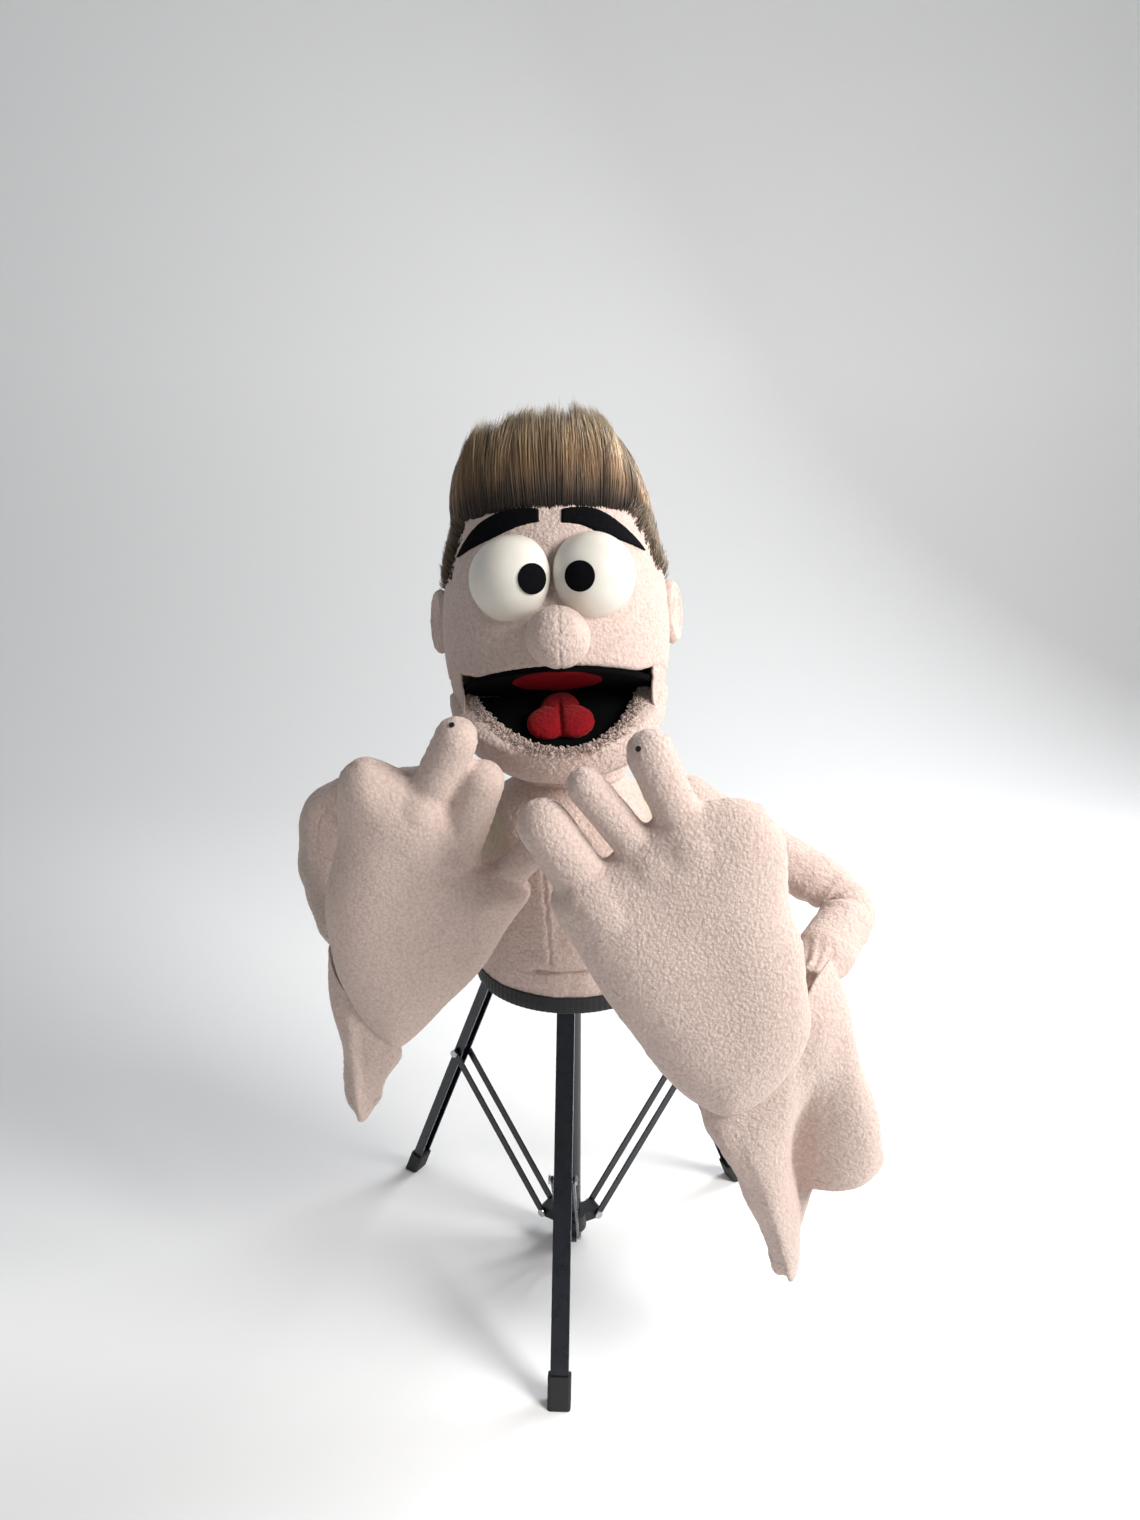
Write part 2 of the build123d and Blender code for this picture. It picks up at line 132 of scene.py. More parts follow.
def cspline(pts, n=400):
    """Natural cubic curve through points of any dimension, n samples."""
    p = np.asarray(pts, float)
    t = np.concatenate([[0], np.cumsum(np.linalg.norm(np.diff(p, axis=0), axis=1))])
    k = len(p)
    A = np.zeros((k, k))
    B = np.zeros_like(p)
    A[0, 0] = A[-1, -1] = 1
    h = np.diff(t)
    for i in range(1, k - 1):
        A[i, i - 1], A[i, i], A[i, i + 1] = h[i - 1], 2 * (h[i - 1] + h[i]), h[i]
        B[i] = 6 * ((p[i + 1] - p[i]) / h[i] - (p[i] - p[i - 1]) / h[i - 1])
    m = np.linalg.solve(A, B)
    s = np.linspace(0, t[-1], n)
    j = np.clip(np.searchsorted(t, s, side="right") - 1, 0, k - 2)
    a = (t[j + 1] - s)[:, None]
    b = (s - t[j])[:, None]
    H = h[j][:, None]
    return (m[j] * a**3 + m[j + 1] * b**3) / (6 * H) + (p[j] / H - m[j] * H / 6) * a + (p[j + 1] / H - m[j + 1] * H / 6) * b


def closed_curve(pts, n):
    """Closed smooth curve through points, n samples evenly spaced in length."""
    p = np.asarray(pts, float)
    q = np.vstack([p[-3:], p, p[:3]])
    c = cspline(q, 1600)
    t = np.concatenate([[0], np.cumsum(np.linalg.norm(np.diff(q, axis=0), axis=1))])
    a, b = t[3], t[3 + len(p)]
    s = np.linspace(0, t[-1], 1600)
    u = np.linspace(a, b, n, endpoint=False)
    return np.stack([np.interp(u, s, c[:, i]) for i in range(p.shape[1])], 1)


def smooth(x, a, b):
    t = np.clip((np.asarray(x, float) - a) / (b - a), 0, 1)
    return t * t * (3 - 2 * t)


def mesh_np(name, V, F, mm=True, shade=True):
    me = bpy.data.meshes.new(name)
    V = np.asarray(V, float) * (MM if mm else 1)
    groups = F if isinstance(F, list) else [F]
    groups = [np.asarray(g) for g in groups if len(g)]
    me.vertices.add(len(V))
    me.vertices.foreach_set("co", V.astype(np.float32).ravel())
    loops = np.concatenate([g.ravel() for g in groups]).astype(np.int32)
    tot = np.concatenate([np.full(len(g), g.shape[1]) for g in groups])
    start = np.concatenate([[0], np.cumsum(tot)[:-1]]).astype(np.int32)
    me.loops.add(len(loops))
    me.loops.foreach_set("vertex_index", loops)
    me.polygons.add(len(tot))
    me.polygons.foreach_set("loop_start", start)
    if shade:
        me.polygons.foreach_set("use_smooth", np.ones(len(tot), bool))
    me.update(calc_edges=True)
    me.validate()
    o = bpy.data.objects.new(name, me)
    scene.collection.objects.link(o)
    return o


def grid(name, P, wrap_u=False, cap0=False, cap1=False):
    """P is (rows, cols, 3); wrap_u closes the columns. Caps close the first or last row with a fan."""
    r, c = P.shape[:2]
    idx = np.arange(r * c).reshape(r, c)
    a = idx[:-1, :]
    b = idx[1:, :]
    if wrap_u:
        q = np.stack([a, np.roll(a, -1, 1), np.roll(b, -1, 1), b], -1).reshape(-1, 4)
    else:
        q = np.stack([a[:, :-1], a[:, 1:], b[:, 1:], b[:, :-1]], -1).reshape(-1, 4)
    V = P.reshape(-1, 3)
    tris = []
    if cap0:
        V = np.vstack([V, P[0].mean(0)])
        k = len(V) - 1
        tris.append(np.stack([np.roll(idx[0], -1), idx[0], np.full(c, k)], -1))
    if cap1:
        V = np.vstack([V, P[-1].mean(0)])
        k = len(V) - 1
        tris.append(np.stack([idx[-1], np.roll(idx[-1], -1), np.full(c, k)], -1))
    return mesh_np(name, V, [q] + ([np.vstack(tris)] if tris else []))


def co(o):
    a = np.zeros(len(o.data.vertices) * 3, np.float32)
    o.data.vertices.foreach_get("co", a)
    return a.reshape(-1, 3).astype(float) / MM


def setco(o, P):
    o.data.vertices.foreach_set("co", (np.asarray(P) * MM).astype(np.float32).ravel())
    o.data.update()


def normals(o):
    a = np.zeros(len(o.data.vertices) * 3, np.float32)
    o.data.vertex_normals.foreach_get("vector", a)
    return a.reshape(-1, 3).astype(float)


def push(o, d):
    setco(o, co(o) + normals(o) * np.asarray(d)[:, None])


def nap(o, amp=0.28, size=2.6, k=0):
    """Fleece nap: fine lumps raised from the cloth, with a broader soft unevenness."""
    P = co(o)
    amp = 1.45 * amp
    push(o, amp * vnoise(P, size * 1.15, k) + 0.5 * amp * vnoise(P, size * 0.6, k + 3) + 0.7 * amp * vnoise(P, 19, k + 5))


def modify(o, *mods):
    """Adds modifiers, then keeps their result as the mesh."""
    for kind, kw in mods:
        m = o.modifiers.new("m", kind)
        for a, b in kw.items():
            setattr(m, a, b)
    dg = bpy.context.evaluated_depsgraph_get()
    me = bpy.data.meshes.new_from_object(o.evaluated_get(dg))
    old = o.data
    o.modifiers.clear()
    o.data = me
    me.name = o.name
    bpy.data.meshes.remove(old)
    me.polygons.foreach_set("use_smooth", np.ones(len(me.polygons), bool))
    me.update()
    return o


def join(name, *objs):
    V, groups, n = [], [], 0
    for o in objs:
        P = co(o)
        V.append(P)
        for p in o.data.polygons:
            groups.append([v + n for v in p.vertices])
        n += len(P)
    me = bpy.data.meshes.new(name)
    me.from_pydata((np.vstack(V) * MM).tolist(), [], groups)
    me.polygons.foreach_set("use_smooth", np.ones(len(me.polygons), bool))
    o2 = bpy.data.objects.new(name, me)
    scene.collection.objects.link(o2)
    for o in objs:
        bpy.data.objects.remove(o)
    return o2


def ball(c, r, n=40, M=None):
    """Closed ellipsoid; r is a number or three half sizes."""
    r = np.array([r, r, r] if np.isscalar(r) else r, float)
    th = np.linspace(0, math.pi, n)[1:-1]
    ph = np.linspace(0, 2 * math.pi, 2 * n, endpoint=False)
    P = np.stack([np.outer(np.sin(th), np.cos(ph)), np.outer(np.sin(th), np.sin(ph)), np.outer(np.cos(th), np.ones_like(ph))], -1) * r + np.array(c, float)
    if M is not None:
        P = tf(M, P)
    return grid("ball", P, True, True, True)


# ------------------------------------------------------------------ materials
def new_mat(name):
    m = bpy.data.materials.new(name)
    m.use_nodes = True
    nt = m.node_tree
    b = nt.nodes["Principled BSDF"]
    return m, nt, b


def node(nt, kind, **kw):
    n = nt.nodes.new(kind)
    for k, v in kw.items():
        if k in n.inputs:
            n.inputs[k].default_value = v
        else:
            setattr(n, k, v)
    return n


def coords(nt):
    return nt.nodes.new("ShaderNodeTexCoord").outputs["Object"]


def noise_node(nt, vec, scale, detail=3.0, rough=0.55):
    n = node(nt, "ShaderNodeTexNoise", Scale=scale, Detail=detail, Roughness=rough)
    nt.links.new(vec, n.inputs["Vector"])
    return n.outputs["Fac"]


def ramp(nt, fac, *stops):
    r = nt.nodes.new("ShaderNodeValToRGB")
    e = r.color_ramp.elements
    while len(e) < len(stops):
        e.new(0.5)
    for el, (p, c) in zip(e, stops):
        el.position = p
        el.color = (*c, 1)
    nt.links.new(fac, r.inputs["Fac"])
    return r.outputs["Color"]


def mix(nt, a, b, fac, kind="MIX"):
    m = nt.nodes.new("ShaderNodeMix")
    m.data_type = "RGBA"
    m.blend_type = kind
    for sock, v in ((m.inputs[6], a), (m.inputs[7], b)):
        if isinstance(v, tuple):
            sock.default_value = (*v, 1)
        else:
            nt.links.new(v, sock)
    if isinstance(fac, (int, float)):
        m.inputs[0].default_value = fac
    else:
        nt.links.new(fac, m.inputs[0])
    return m.outputs[2]


def add(nt, a, b, kind="ADD"):
    m = node(nt, "ShaderNodeMath", operation=kind)
    for i, v in enumerate((a, b)):
        if isinstance(v, (int, float)):
            m.inputs[i].default_value = v
        else:
            nt.links.new(v, m.inputs[i])
    return m.outputs[0]


def bump(nt, b, height, strength, dist):
    n = node(nt, "ShaderNodeBump", Strength=strength, Distance=dist)
    nt.links.new(height, n.inputs["Height"])
    nt.links.new(n.outputs["Normal"], b.inputs["Normal"])


def fleece(name, light, dark, bump_s=0.85):
    """Napped polyester fleece: pilled surface about 2 mm across, dull, with a soft bloom at grazing angles."""
    m, nt, b = new_mat(name)
    v = coords(nt)
    pill = node(nt, "ShaderNodeTexVoronoi", Scale=420.0, Randomness=1.0)
    pill.feature = "SMOOTH_F1"
    nt.links.new(v, pill.inputs["Vector"])
    fine = noise_node(nt, v, 900, 4, 0.65)
    mid = noise_node(nt, v, 300, 3, 0.6)
    broad = noise_node(nt, v, 14, 3)
    c1 = ramp(nt, mid, (0.3, dark), (0.72, light))
    c2 = mix(nt, c1, tuple(x * 0.93 for x in light), broad)
    shade = ramp(nt, pill.outputs["Distance"], (0.0, (1.03, 1.03, 1.03)), (0.75, (0.72, 0.69, 0.66)))
    c3 = mix(nt, c2, shade, 0.75, "MULTIPLY")
    nt.links.new(c3, b.inputs["Base Color"])
    h = add(nt, add(nt, pill.outputs["Distance"], -0.9, "MULTIPLY"), add(nt, fine, 0.7, "MULTIPLY"))
    h = add(nt, h, add(nt, mid, 0.9, "MULTIPLY"))
    bump(nt, b, h, bump_s, 0.0014)
    b.inputs["Roughness"].default_value = 0.95
    b.inputs["Specular IOR Level"].default_value = 0.15
    b.inputs["Sheen Weight"].default_value = 0.35
    b.inputs["Sheen Roughness"].default_value = 0.45
    b.inputs["Sheen Tint"].default_value = (1.0, 0.93, 0.88, 1)
    return m


SKIN = fleece("fleece_skin", (0.80, 0.645, 0.585), (0.60, 0.455, 0.40))
SKIN_SMOOTH = fleece("fleece_skin_shorn", (0.74, 0.59, 0.53), (0.60, 0.46, 0.405), 0.45)
RED = fleece("tongue_plush", (0.30, 0.006, 0.012), (0.15, 0.002, 0.006), 0.6)
RED.node_tree.nodes["Principled BSDF"].inputs["Sheen Tint"].default_value = (1, 0.2, 0.2, 1)


def felt(name, light, dark, rough=0.95, s=0.4, scale=1400):
    m, nt, b = new_mat(name)
    v = coords(nt)
    f = noise_node(nt, v, scale, 5, 0.7)
    g = noise_node(nt, v, scale / 6, 3)
    nt.links.new(ramp(nt, add(nt, add(nt, f, 0.6, "MULTIPLY"), add(nt, g, 0.4, "MULTIPLY")), (0.35, dark), (0.68, light)), b.inputs["Base Color"])
    bump(nt, b, add(nt, f, g), s, 0.0006)
    b.inputs["Roughness"].default_value = rough
    b.inputs["Specular IOR Level"].default_value = 0.08
    b.inputs["Sheen Weight"].default_value = 0.0
    return m


BLACK_FELT = felt("felt_black", (0.0045, 0.0045, 0.006), (0.0015, 0.0015, 0.002))
MOUTH_BLACK = felt("mouth_cloth_black", (0.0025, 0.0025, 0.003), (0.001, 0.001, 0.001), 0.95)
PALATE = felt("palate_cloth_red", (0.22, 0.006, 0.012), (0.13, 0.003, 0.006), 0.8, 0.3, 900)
POCKET = felt("pocket_cloth", (0.01, 0.01, 0.011), (0.005, 0.005, 0.005), 0.9)
FOAM_M = felt("foam_cell", (0.66, 0.60, 0.45), (0.50, 0.44, 0.31), 0.95, 0.9, 700)


def plain(name, c, c2, rough, scale, s=0.15, metal=0.0, coat=0.0, dist=0.0002, rvar=0.12):
    m, nt, b = new_mat(name)
    v = coords(nt)
    f = noise_node(nt, v, scale, 4)
    g = noise_node(nt, v, scale / 9, 3)
    nt.links.new(ramp(nt, g, (0.35, c), (0.7, c2)), b.inputs["Base Color"])
    r = node(nt, "ShaderNodeMapRange")
    nt.links.new(g, r.inputs["Value"])
    r.inputs["From Min"].default_value, r.inputs["From Max"].default_value = 0.3, 0.7
    r.inputs["To Min"].default_value, r.inputs["To Max"].default_value = max(rough - rvar, 0.03), rough + rvar
    nt.links.new(r.outputs[0], b.inputs["Roughness"])
    bump(nt, b, f, s, dist)
    b.inputs["Metallic"].default_value = metal
    b.inputs["Coat Weight"].default_value = coat
    return m


# the blue tint in this near-black enamel colour is painted reflection of the bluish light on the stand
STAND = plain("stand_black_enamel", (0.002, 0.0035, 0.008), (0.005, 0.008, 0.015), 0.30, 1100, 0.04, 0.0, 0.2, 0.0002, 0.05)
POLE = plain("pole_satin_steel", (0.55, 0.55, 0.56), (0.66, 0.66, 0.67), 0.28, 2400, 0.12, 1.0)
CAST = plain("casting_black_nylon", (0.005, 0.006, 0.009), (0.011, 0.012, 0.016), 0.5, 1500, 0.35)
KNOB = plain("knob_black_moulded", (0.014, 0.014, 0.016), (0.028, 0.028, 0.03), 0.42, 1700, 0.3)
PIN = plain("pin_zinc_steel", (0.45, 0.46, 0.47), (0.60, 0.60, 0.62), 0.32, 1800, 0.15, 1.0)
RUBBER = plain("foot_black_rubber", (0.012, 0.012, 0.012), (0.026, 0.026, 0.026), 0.75, 1300, 0.5)
WOOD = plain("block_beech", (0.42, 0.27, 0.14), (0.55, 0.37, 0.20), 0.55, 500, 0.25)
STUD = plain("stud_black_gloss", (0.004, 0.004, 0.004), (0.01, 0.01, 0.01), 0.2, 1500, 0.1)


def ribbed(name):
    """Black knitted hem tape: fine upright ribs with a slight sheen."""
    m, nt, b = new_mat(name)
    v = coords(nt)
    w = node(nt, "ShaderNodeTexWave", Scale=170.0, Distortion=1.2, Detail=2.0)
    w.bands_direction = "Z"
    nt.links.new(v, w.inputs["Vector"])
    f = noise_node(nt, v, 1500, 4)
    nt.links.new(ramp(nt, add(nt, w.outputs["Fac"], add(nt, f, 0.5, "MULTIPLY")), (0.2, (0.004, 0.005, 0.007)), (1.0, (0.016, 0.018, 0.022))), b.inputs["Base Color"])
    bump(nt, b, add(nt, w.outputs["Fac"], f), 0.4, 0.0004)
    b.inputs["Roughness"].default_value = 0.8
    b.inputs["Sheen Weight"].default_value = 0.15
    return m


HEM = ribbed("hem_black_knit")


def eye_plastic():
    m, nt, b = new_mat("eye_cream_plastic")
    v = coords(nt)
    g = noise_node(nt, v, 22, 3)
    nt.links.new(ramp(nt, g, (0.3, (0.76, 0.69, 0.60)), (0.75, (0.82, 0.755, 0.67))), b.inputs["Base Color"])
    bump(nt, b, noise_node(nt, v, 1600, 3), 0.05, 0.0002)
    b.inputs["Roughness"].default_value = 0.32
    b.inputs["Subsurface Weight"].default_value = 0.35
    b.inputs["Subsurface Radius"].default_value = (0.012, 0.009, 0.006)
    b.inputs["Subsurface Scale"].default_value = 0.6
    return m


EYE = eye_plastic()


def hair_mat(name, stops, spread=0.5):
    """Fibre colour runs from near-black roots to lighter tips, the dark roots being painted shade among the fibres;
    each strand is a little lighter or darker, in locks.
    """
    m, nt, b = new_mat(name)
    t = node(nt, "ShaderNodeAttribute", attribute_name="hair_t").outputs["Fac"]
    r = node(nt, "ShaderNodeAttribute", attribute_name="hair_r").outputs["Fac"]
    c = ramp(nt, t, *stops)
    dark = ramp(nt, r, (0.0, (0.30, 0.27, 0.25)), (0.45, (0.85, 0.82, 0.80)), (1.0, (1.5, 1.45, 1.35)))
    nt.links.new(mix(nt, c, dark, spread, "MULTIPLY"), b.inputs["Base Color"])
    b.inputs["Roughness"].default_value = 0.48
    b.inputs["Specular IOR Level"].default_value = 0.45
    b.inputs["Sheen Weight"].default_value = 0.1
    return m


# the near-black root end of both ramps is painted shade where the fibres cover one another
HAIR = hair_mat("hair_quiff_fibre", ((0.0, (0.016, 0.009, 0.005)), (0.16, (0.055, 0.030, 0.014)), (0.40, (0.31, 0.190, 0.098)), (0.70, (0.50, 0.36, 0.215)), (1.0, (0.42, 0.35, 0.25))), 0.92)
FUR = hair_mat("hair_side_fibre", ((0.0, (0.025, 0.016, 0.010)), (0.4, (0.14, 0.088, 0.048)), (1.0, (0.33, 0.25, 0.16))), 0.8)
# the hair backing's dark brown is painted shade under the fibres
SCALP = felt("hair_backing", (0.040, 0.026, 0.017), (0.018, 0.011, 0.008), 0.95, 0.8, 600)


def paint(name, m):
    o = NODES[name]
    o.data.materials.clear()
    o.data.materials.append(m)


for n in NODES:
    if n.startswith(("column_tube", "brace_bars", "leg_front", "leg_right", "leg_left")):
        paint(n, STAND)
    elif n.startswith(("leg_rivets", "spider_pins")):
        paint(n, PIN)
    elif n in ("column_end_plug",) or n.startswith("foot_cap"):
        paint(n, RUBBER)
    elif n in ("leg_spider", "leg_hub", "height_collar"):
        paint(n, CAST)
    elif n in ("hub_lock_knob", "height_knob"):
        paint(n, KNOB)
    elif n == "inner_pole":
        paint(n, POLE)
    elif n == "head_block":
        paint(n, WOOD)
    elif n in ("skull_foam", "jaw_foam", "crown_pad", "torso_foam", "neck_tube"):
        paint(n, FOAM_M)
    elif n in ("upper_mouth_plate", "lower_mouth_plate", "mouth_hinge_strip"):
        paint(n, MOUTH_BLACK)
    elif n in ("finger_pocket", "thumb_pocket"):
        paint(n, POCKET)
    elif n.startswith("eye_dome"):
        paint(n, EYE)
    elif n.startswith("pupil"):
        paint(n, BLACK_FELT)
    elif n.startswith("finger_stud"):
        paint(n, STUD)
    else:
        paint(n, SKIN)


def done(o, m, body=None, replaces=()):
    o.data.materials.clear()
    o.data.materials.append(m)
    if replaces:
        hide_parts(*replaces)
    if body:
        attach(o, body)
    return o


# ------------------------------------------------------------------ head
PROFILE = [(-46, 80), (-20, 88), (0, 92), (31, 96), (75, 94.5), (112, 87), (147, 75), (168, 56), (177, 30), (180, 0)]
HP = cspline([(r, z) for z, r in PROFILE], 900)[::-1]          # crown first: (r, z)
HP[:, 0] = np.maximum(HP[:, 0], 0)
HN = np.gradient(HP, axis=0)
HN = np.stack([-HN[:, 1], HN[:, 0]], 1)
HN /= np.linalg.norm(HN, axis=1)[:, None]
if HN[500, 0] < 0:
    HN = -HN


def on_head(phi, z, off=0.0):
    """Head-frame point on the skull at azimuth phi (0 faces front) and height z."""
    phi, z = np.broadcast_arrays(np.asarray(phi, float), np.asarray(z, float))
    o = np.argsort(HP[:, 1])
    r = np.interp(z, HP[o, 1], HP[o, 0])
    nr = np.interp(z, HP[o, 1], HN[o, 0])
    nz = np.interp(z, HP[o, 1], HN[o, 1])
    rr = r + off * nr
    return np.stack([rr * np.sin(phi), -rr * np.cos(phi), z + off * nz], -1), np.stack([nr * np.sin(phi), -nr * np.cos(phi), nz], -1)


def head_cut(x, y):
    """Height of the skin's lower edge: the mouth plate's rim in front, lower behind the ears."""
    z = np.where(y < -12, -14 - (y + 12) * 0.1673, -14.0)
    z = z + (6.5 + 11.0 * smooth(np.abs(x), 62, 92)) * (1 - smooth(y, 0, 12))
    return z + (-46 + 14 - z + (-14)) * 0 - (z + 45.5) * smooth(y, 9, 20)


def head_grid(off, raise_, cols, rows, roll):
    ph = np.linspace(0, 2 * math.pi, cols, endpoint=False)
    pr = HP + HN * off
    out = np.zeros((rows + len(roll), cols, 3))
    for j, p in enumerate(ph):
        x, y, z = pr[:, 0] * math.sin(p), -pr[:, 0] * math.cos(p), pr[:, 1]
        below = z < head_cut(x, y) + raise_
        below[:300] = False
        e = np.argmax(below) if below.any() else len(pr) - 1
        s = np.linspace(0, 1, rows) ** 0.93 * e
        k = np.arange(len(pr))
        P = np.stack([np.interp(s, k, x), np.interp(s, k, y), np.interp(s, k, z)], 1)
        out[:rows, j] = P
        base, n = P[-1], np.array([math.sin(p), -math.cos(p), 0.0])
        for i, (inward, down) in enumerate(roll):
            out[rows + i, j] = base - n * inward + np.array([0, 0, -down])
    return out


def head_edge(phis):
    """Head-frame points on the skin's lower edge at the given azimuths."""
    r = []
    for p in phis:
        x, y, z = HP[:, 0] * math.sin(p), -HP[:, 0] * math.cos(p), HP[:, 1]
        below = z < head_cut(x, y)
        below[:300] = False
        e = np.argmax(below) if below.any() else len(HP) - 1
        r.append((x[e], y[e], z[e] + 1.0))
    return np.array(r)


q = 1.0
G = head_grid(0.0, 0.0, int(300 * q), int(150 * q), [(0.7, 0.5), (2.0, 0.8), (3.8, 0.4), (6.0, -1.0), (8.0, -2.6)])
P = G.reshape(-1, 3)
# the centre seam runs from the brow to the nose; the cloth is drawn in around eyes and nose
d = -0.9 * np.exp(-(P[:, 0] / 0.9) ** 2) * ((P[:, 1] < 0) & (P[:, 2] > 70)) * 1.0
d += 1.6 * vnoise(P, 46, 2) * 0.5
for s in (-1, 1):
    e = np.linalg.norm(P - np.array([s * 31.5, -85, 74]), axis=1)
    d += -1.2 * np.exp(-((e - 36.5) / 2.2) ** 2)
e = np.linalg.norm(P - np.array([3.5, -111, 23]), axis=1)
d += -1.3 * np.exp(-((e - 26) / 2.4) ** 2)
under = np.exp(-((P[:, 2] - 114) / 20) ** 2) * (P[:, 1] < 0)
d = d * (1 - 0.7 * under) - 0.5 * under
nrm = P.copy(); nrm[:, 2] *= 0.2
nrm /= np.linalg.norm(nrm, axis=1)[:, None] + 1e-9
P = P + nrm * d[:, None]
face = grid("head_skin_fleece", tf(HEAD, P).reshape(G.shape), True)
nap(face, 0.21, 2.4)
modify(face, ("SOLIDIFY", dict(thickness=0.0019, offset=-1 if True else 1)))
done(face, SKIN, "head", ("head_skin", "skull_foam"))
Gf = head_grid(-2.6, 7.0, 120, 60, [(3, 0.5), (8, -1.5), (11.5, -3.5)])
foam = grid("skull_foam_shell", tf(HEAD, Gf.reshape(-1, 3)).reshape(Gf.shape), True)
modify(foam, ("SOLIDIFY", dict(thickness=0.0016, offset=-1)))
done(foam, FOAM_M, "head")

# nose: stuffed fleece ball, gathered underneath at the back
o = ball((3.5, -111, 23), (25.4, 24.8, 24.6), int(70 * q))
P = co(o)
c = np.array([3.5, -111, 23.0])
u = (P - c) / np.linalg.norm(P - c, axis=1)[:, None]
d = 0.8 * vnoise(P, 21, 4) - 0.7 * np.exp(-((P[:, 0] - 4.5) / 0.9) ** 2) * (P[:, 1] < -100)
setco(o, tf(HEAD, P + u * d[:, None]))
nap(o, 0.28, 2.5, 1)
o.name = "nose_fleece_ball"
done(o, SKIN, "head", ("nose",))

# ears: padded loops of fleece with a hollowed inside and a turned rim
for s, side in ((-1, "left"), (1, "right")):
    o = ball((0, 0, 0), (8.0, 17.0, 28.0), int(64 * q))
    P = co(o)
    rr = np.hypot(P[:, 1] / 17, P[:, 2] / 28)
    outer = P[:, 0] * s > 0
    bowl = np.exp(-((rr - 0.0) / 0.52) ** 2) * outer
    rim = np.exp(-((rr - 0.86) / 0.13) ** 2) * outer
    ridge = np.exp(-(((P[:, 1] - 3 * s * 0 - 2.5) / 2.6) ** 2)) * np.exp(-((P[:, 2] - 3) / 13) ** 2) * outer
    P[:, 0] += s * (-8.0 * bowl + 2.2 * rim + 2.0 * ridge)
    P[:, 1] += np.where(P[:, 2] < -12, -(P[:, 2] + 12) * 0.10, 0)
    M = HEAD @ pos(s * 100, 3, 54) @ rot("Z", s * -24)
    setco(o, tf(M, P))
    nap(o, 0.22, 2.4, 2)
    o.name = "ear_fleece_" + side
    done(o, SKIN_SMOOTH, "head", ("ear_" + side,))


def inside(poly, X, Z):
    poly = np.asarray(poly, float)
    r = np.zeros(X.shape, bool)
    x0, z0 = poly[:, 0], poly[:, 1]
    x1, z1 = np.roll(x0, -1), np.roll(z0, -1)
    for a, b, c_, d_ in zip(x0, z0, x1, z1):
        if b == d_:
            continue
        hit = ((b > Z) != (d_ > Z)) & (X < (c_ - a) * (Z - b) / (d_ - b) + a)
        r ^= hit
    return r


def edge_dist(poly, X, Z):
    poly = np.asarray(poly, float)
    best = np.full(X.shape, 1e9)
    for a, b in zip(poly, np.roll(poly, -1, 0)):
        ab = b - a
        t = np.clip(((X - a[0]) * ab[0] + (Z - a[1]) * ab[1]) / (ab @ ab), 0, 1)
        best = np.minimum(best, np.hypot(X - a[0] - t * ab[0], Z - a[1] - t * ab[1]))
    return best


# eyebrows: cut felt glued to the brow, with soft cut edges
BROW = {
    "left": ([(-8.3, 129), (-23.6, 131), (-38.5, 130), (-50.5, 126.5), (-62, 119.5), (-71, 109.5), (-76.5, 99.5)], [(-8.5, 118), (-22, 116), (-36, 112), (-50, 107.5), (-62, 104), (-70, 101.5), (-76.5, 99.5)]),
    "right": ([(9.2, 128), (26.7, 130), (38.6, 128), (50, 122), (62, 112.5), (70, 104), (74.5, 97.5)], [(9, 116.5), (26, 114), (38, 108.5), (50, 104), (62, 101), (74.5, 97.5)]),
}
for side, pts in BROW.items():
    a, b = (np.array(v, float) for v in pts)               # upper and lower edges, inner end to the outer tip
    n = 150
    A, B = cspline(a, n), cspline(b, n)
    m = 22
    prof = []
    for i in range(m + 1):
        f = i / m
        prof.append((f, 2.2 * (1 - abs(2 * f - 1) ** 8) ** 0.5 + 1.5))
    rows = []
    for f, h in prof:
        XZ = A * (1 - f) + B * f
        phi = np.arcsin(np.clip(XZ[:, 0] / np.interp(XZ[:, 1], np.sort(HP[:, 1]), HP[np.argsort(HP[:, 1]), 0]), -1, 1))
        Q, N = on_head(phi, XZ[:, 1])
        fade = 0.45 + 0.55 * smooth(np.arange(n), 0, 3)
        rows.append(Q + N * (h * fade)[:, None])
    rows.append(rows[-1] * 0 + on_head(phi, XZ[:, 1], -0.6)[0])
    R = np.array(rows)
    o = grid("brow_felt_" + side, tf(HEAD, R.reshape(-1, 3)).reshape(R.shape))
    nap(o, 0.12, 1.6, 7)
    done(o, BLACK_FELT, "head", ("brow_" + side,))

# ------------------------------------------------------------------ mouth
e = np.linspace(0, 2 * math.pi, 120, endpoint=False)
rows = []
for f, h in ((0.02, 1.5), (0.3, 1.5), (0.6, 1.45), (0.85, 1.3), (0.95, 1.0), (1.0, 0.2)):
    w = 37.0 + 1.0 * np.sin(3 * e)
    X = w * f * np.cos(e)
    Y = -46 + (31 if True else 0) * f * np.sin(e)
    rows.append(np.stack([X, Y, -h + 0.25 * np.sin(X / 5.0 + Y / 9.0)], -1))
R = np.array(rows)
o = grid("palate_cloth", tf(PLATE, R.reshape(-1, 3)).reshape(R.shape), True, True)
nap(o, 0.08, 2.0, 8)
done(o, PALATE, "head", ("palate_patch",))

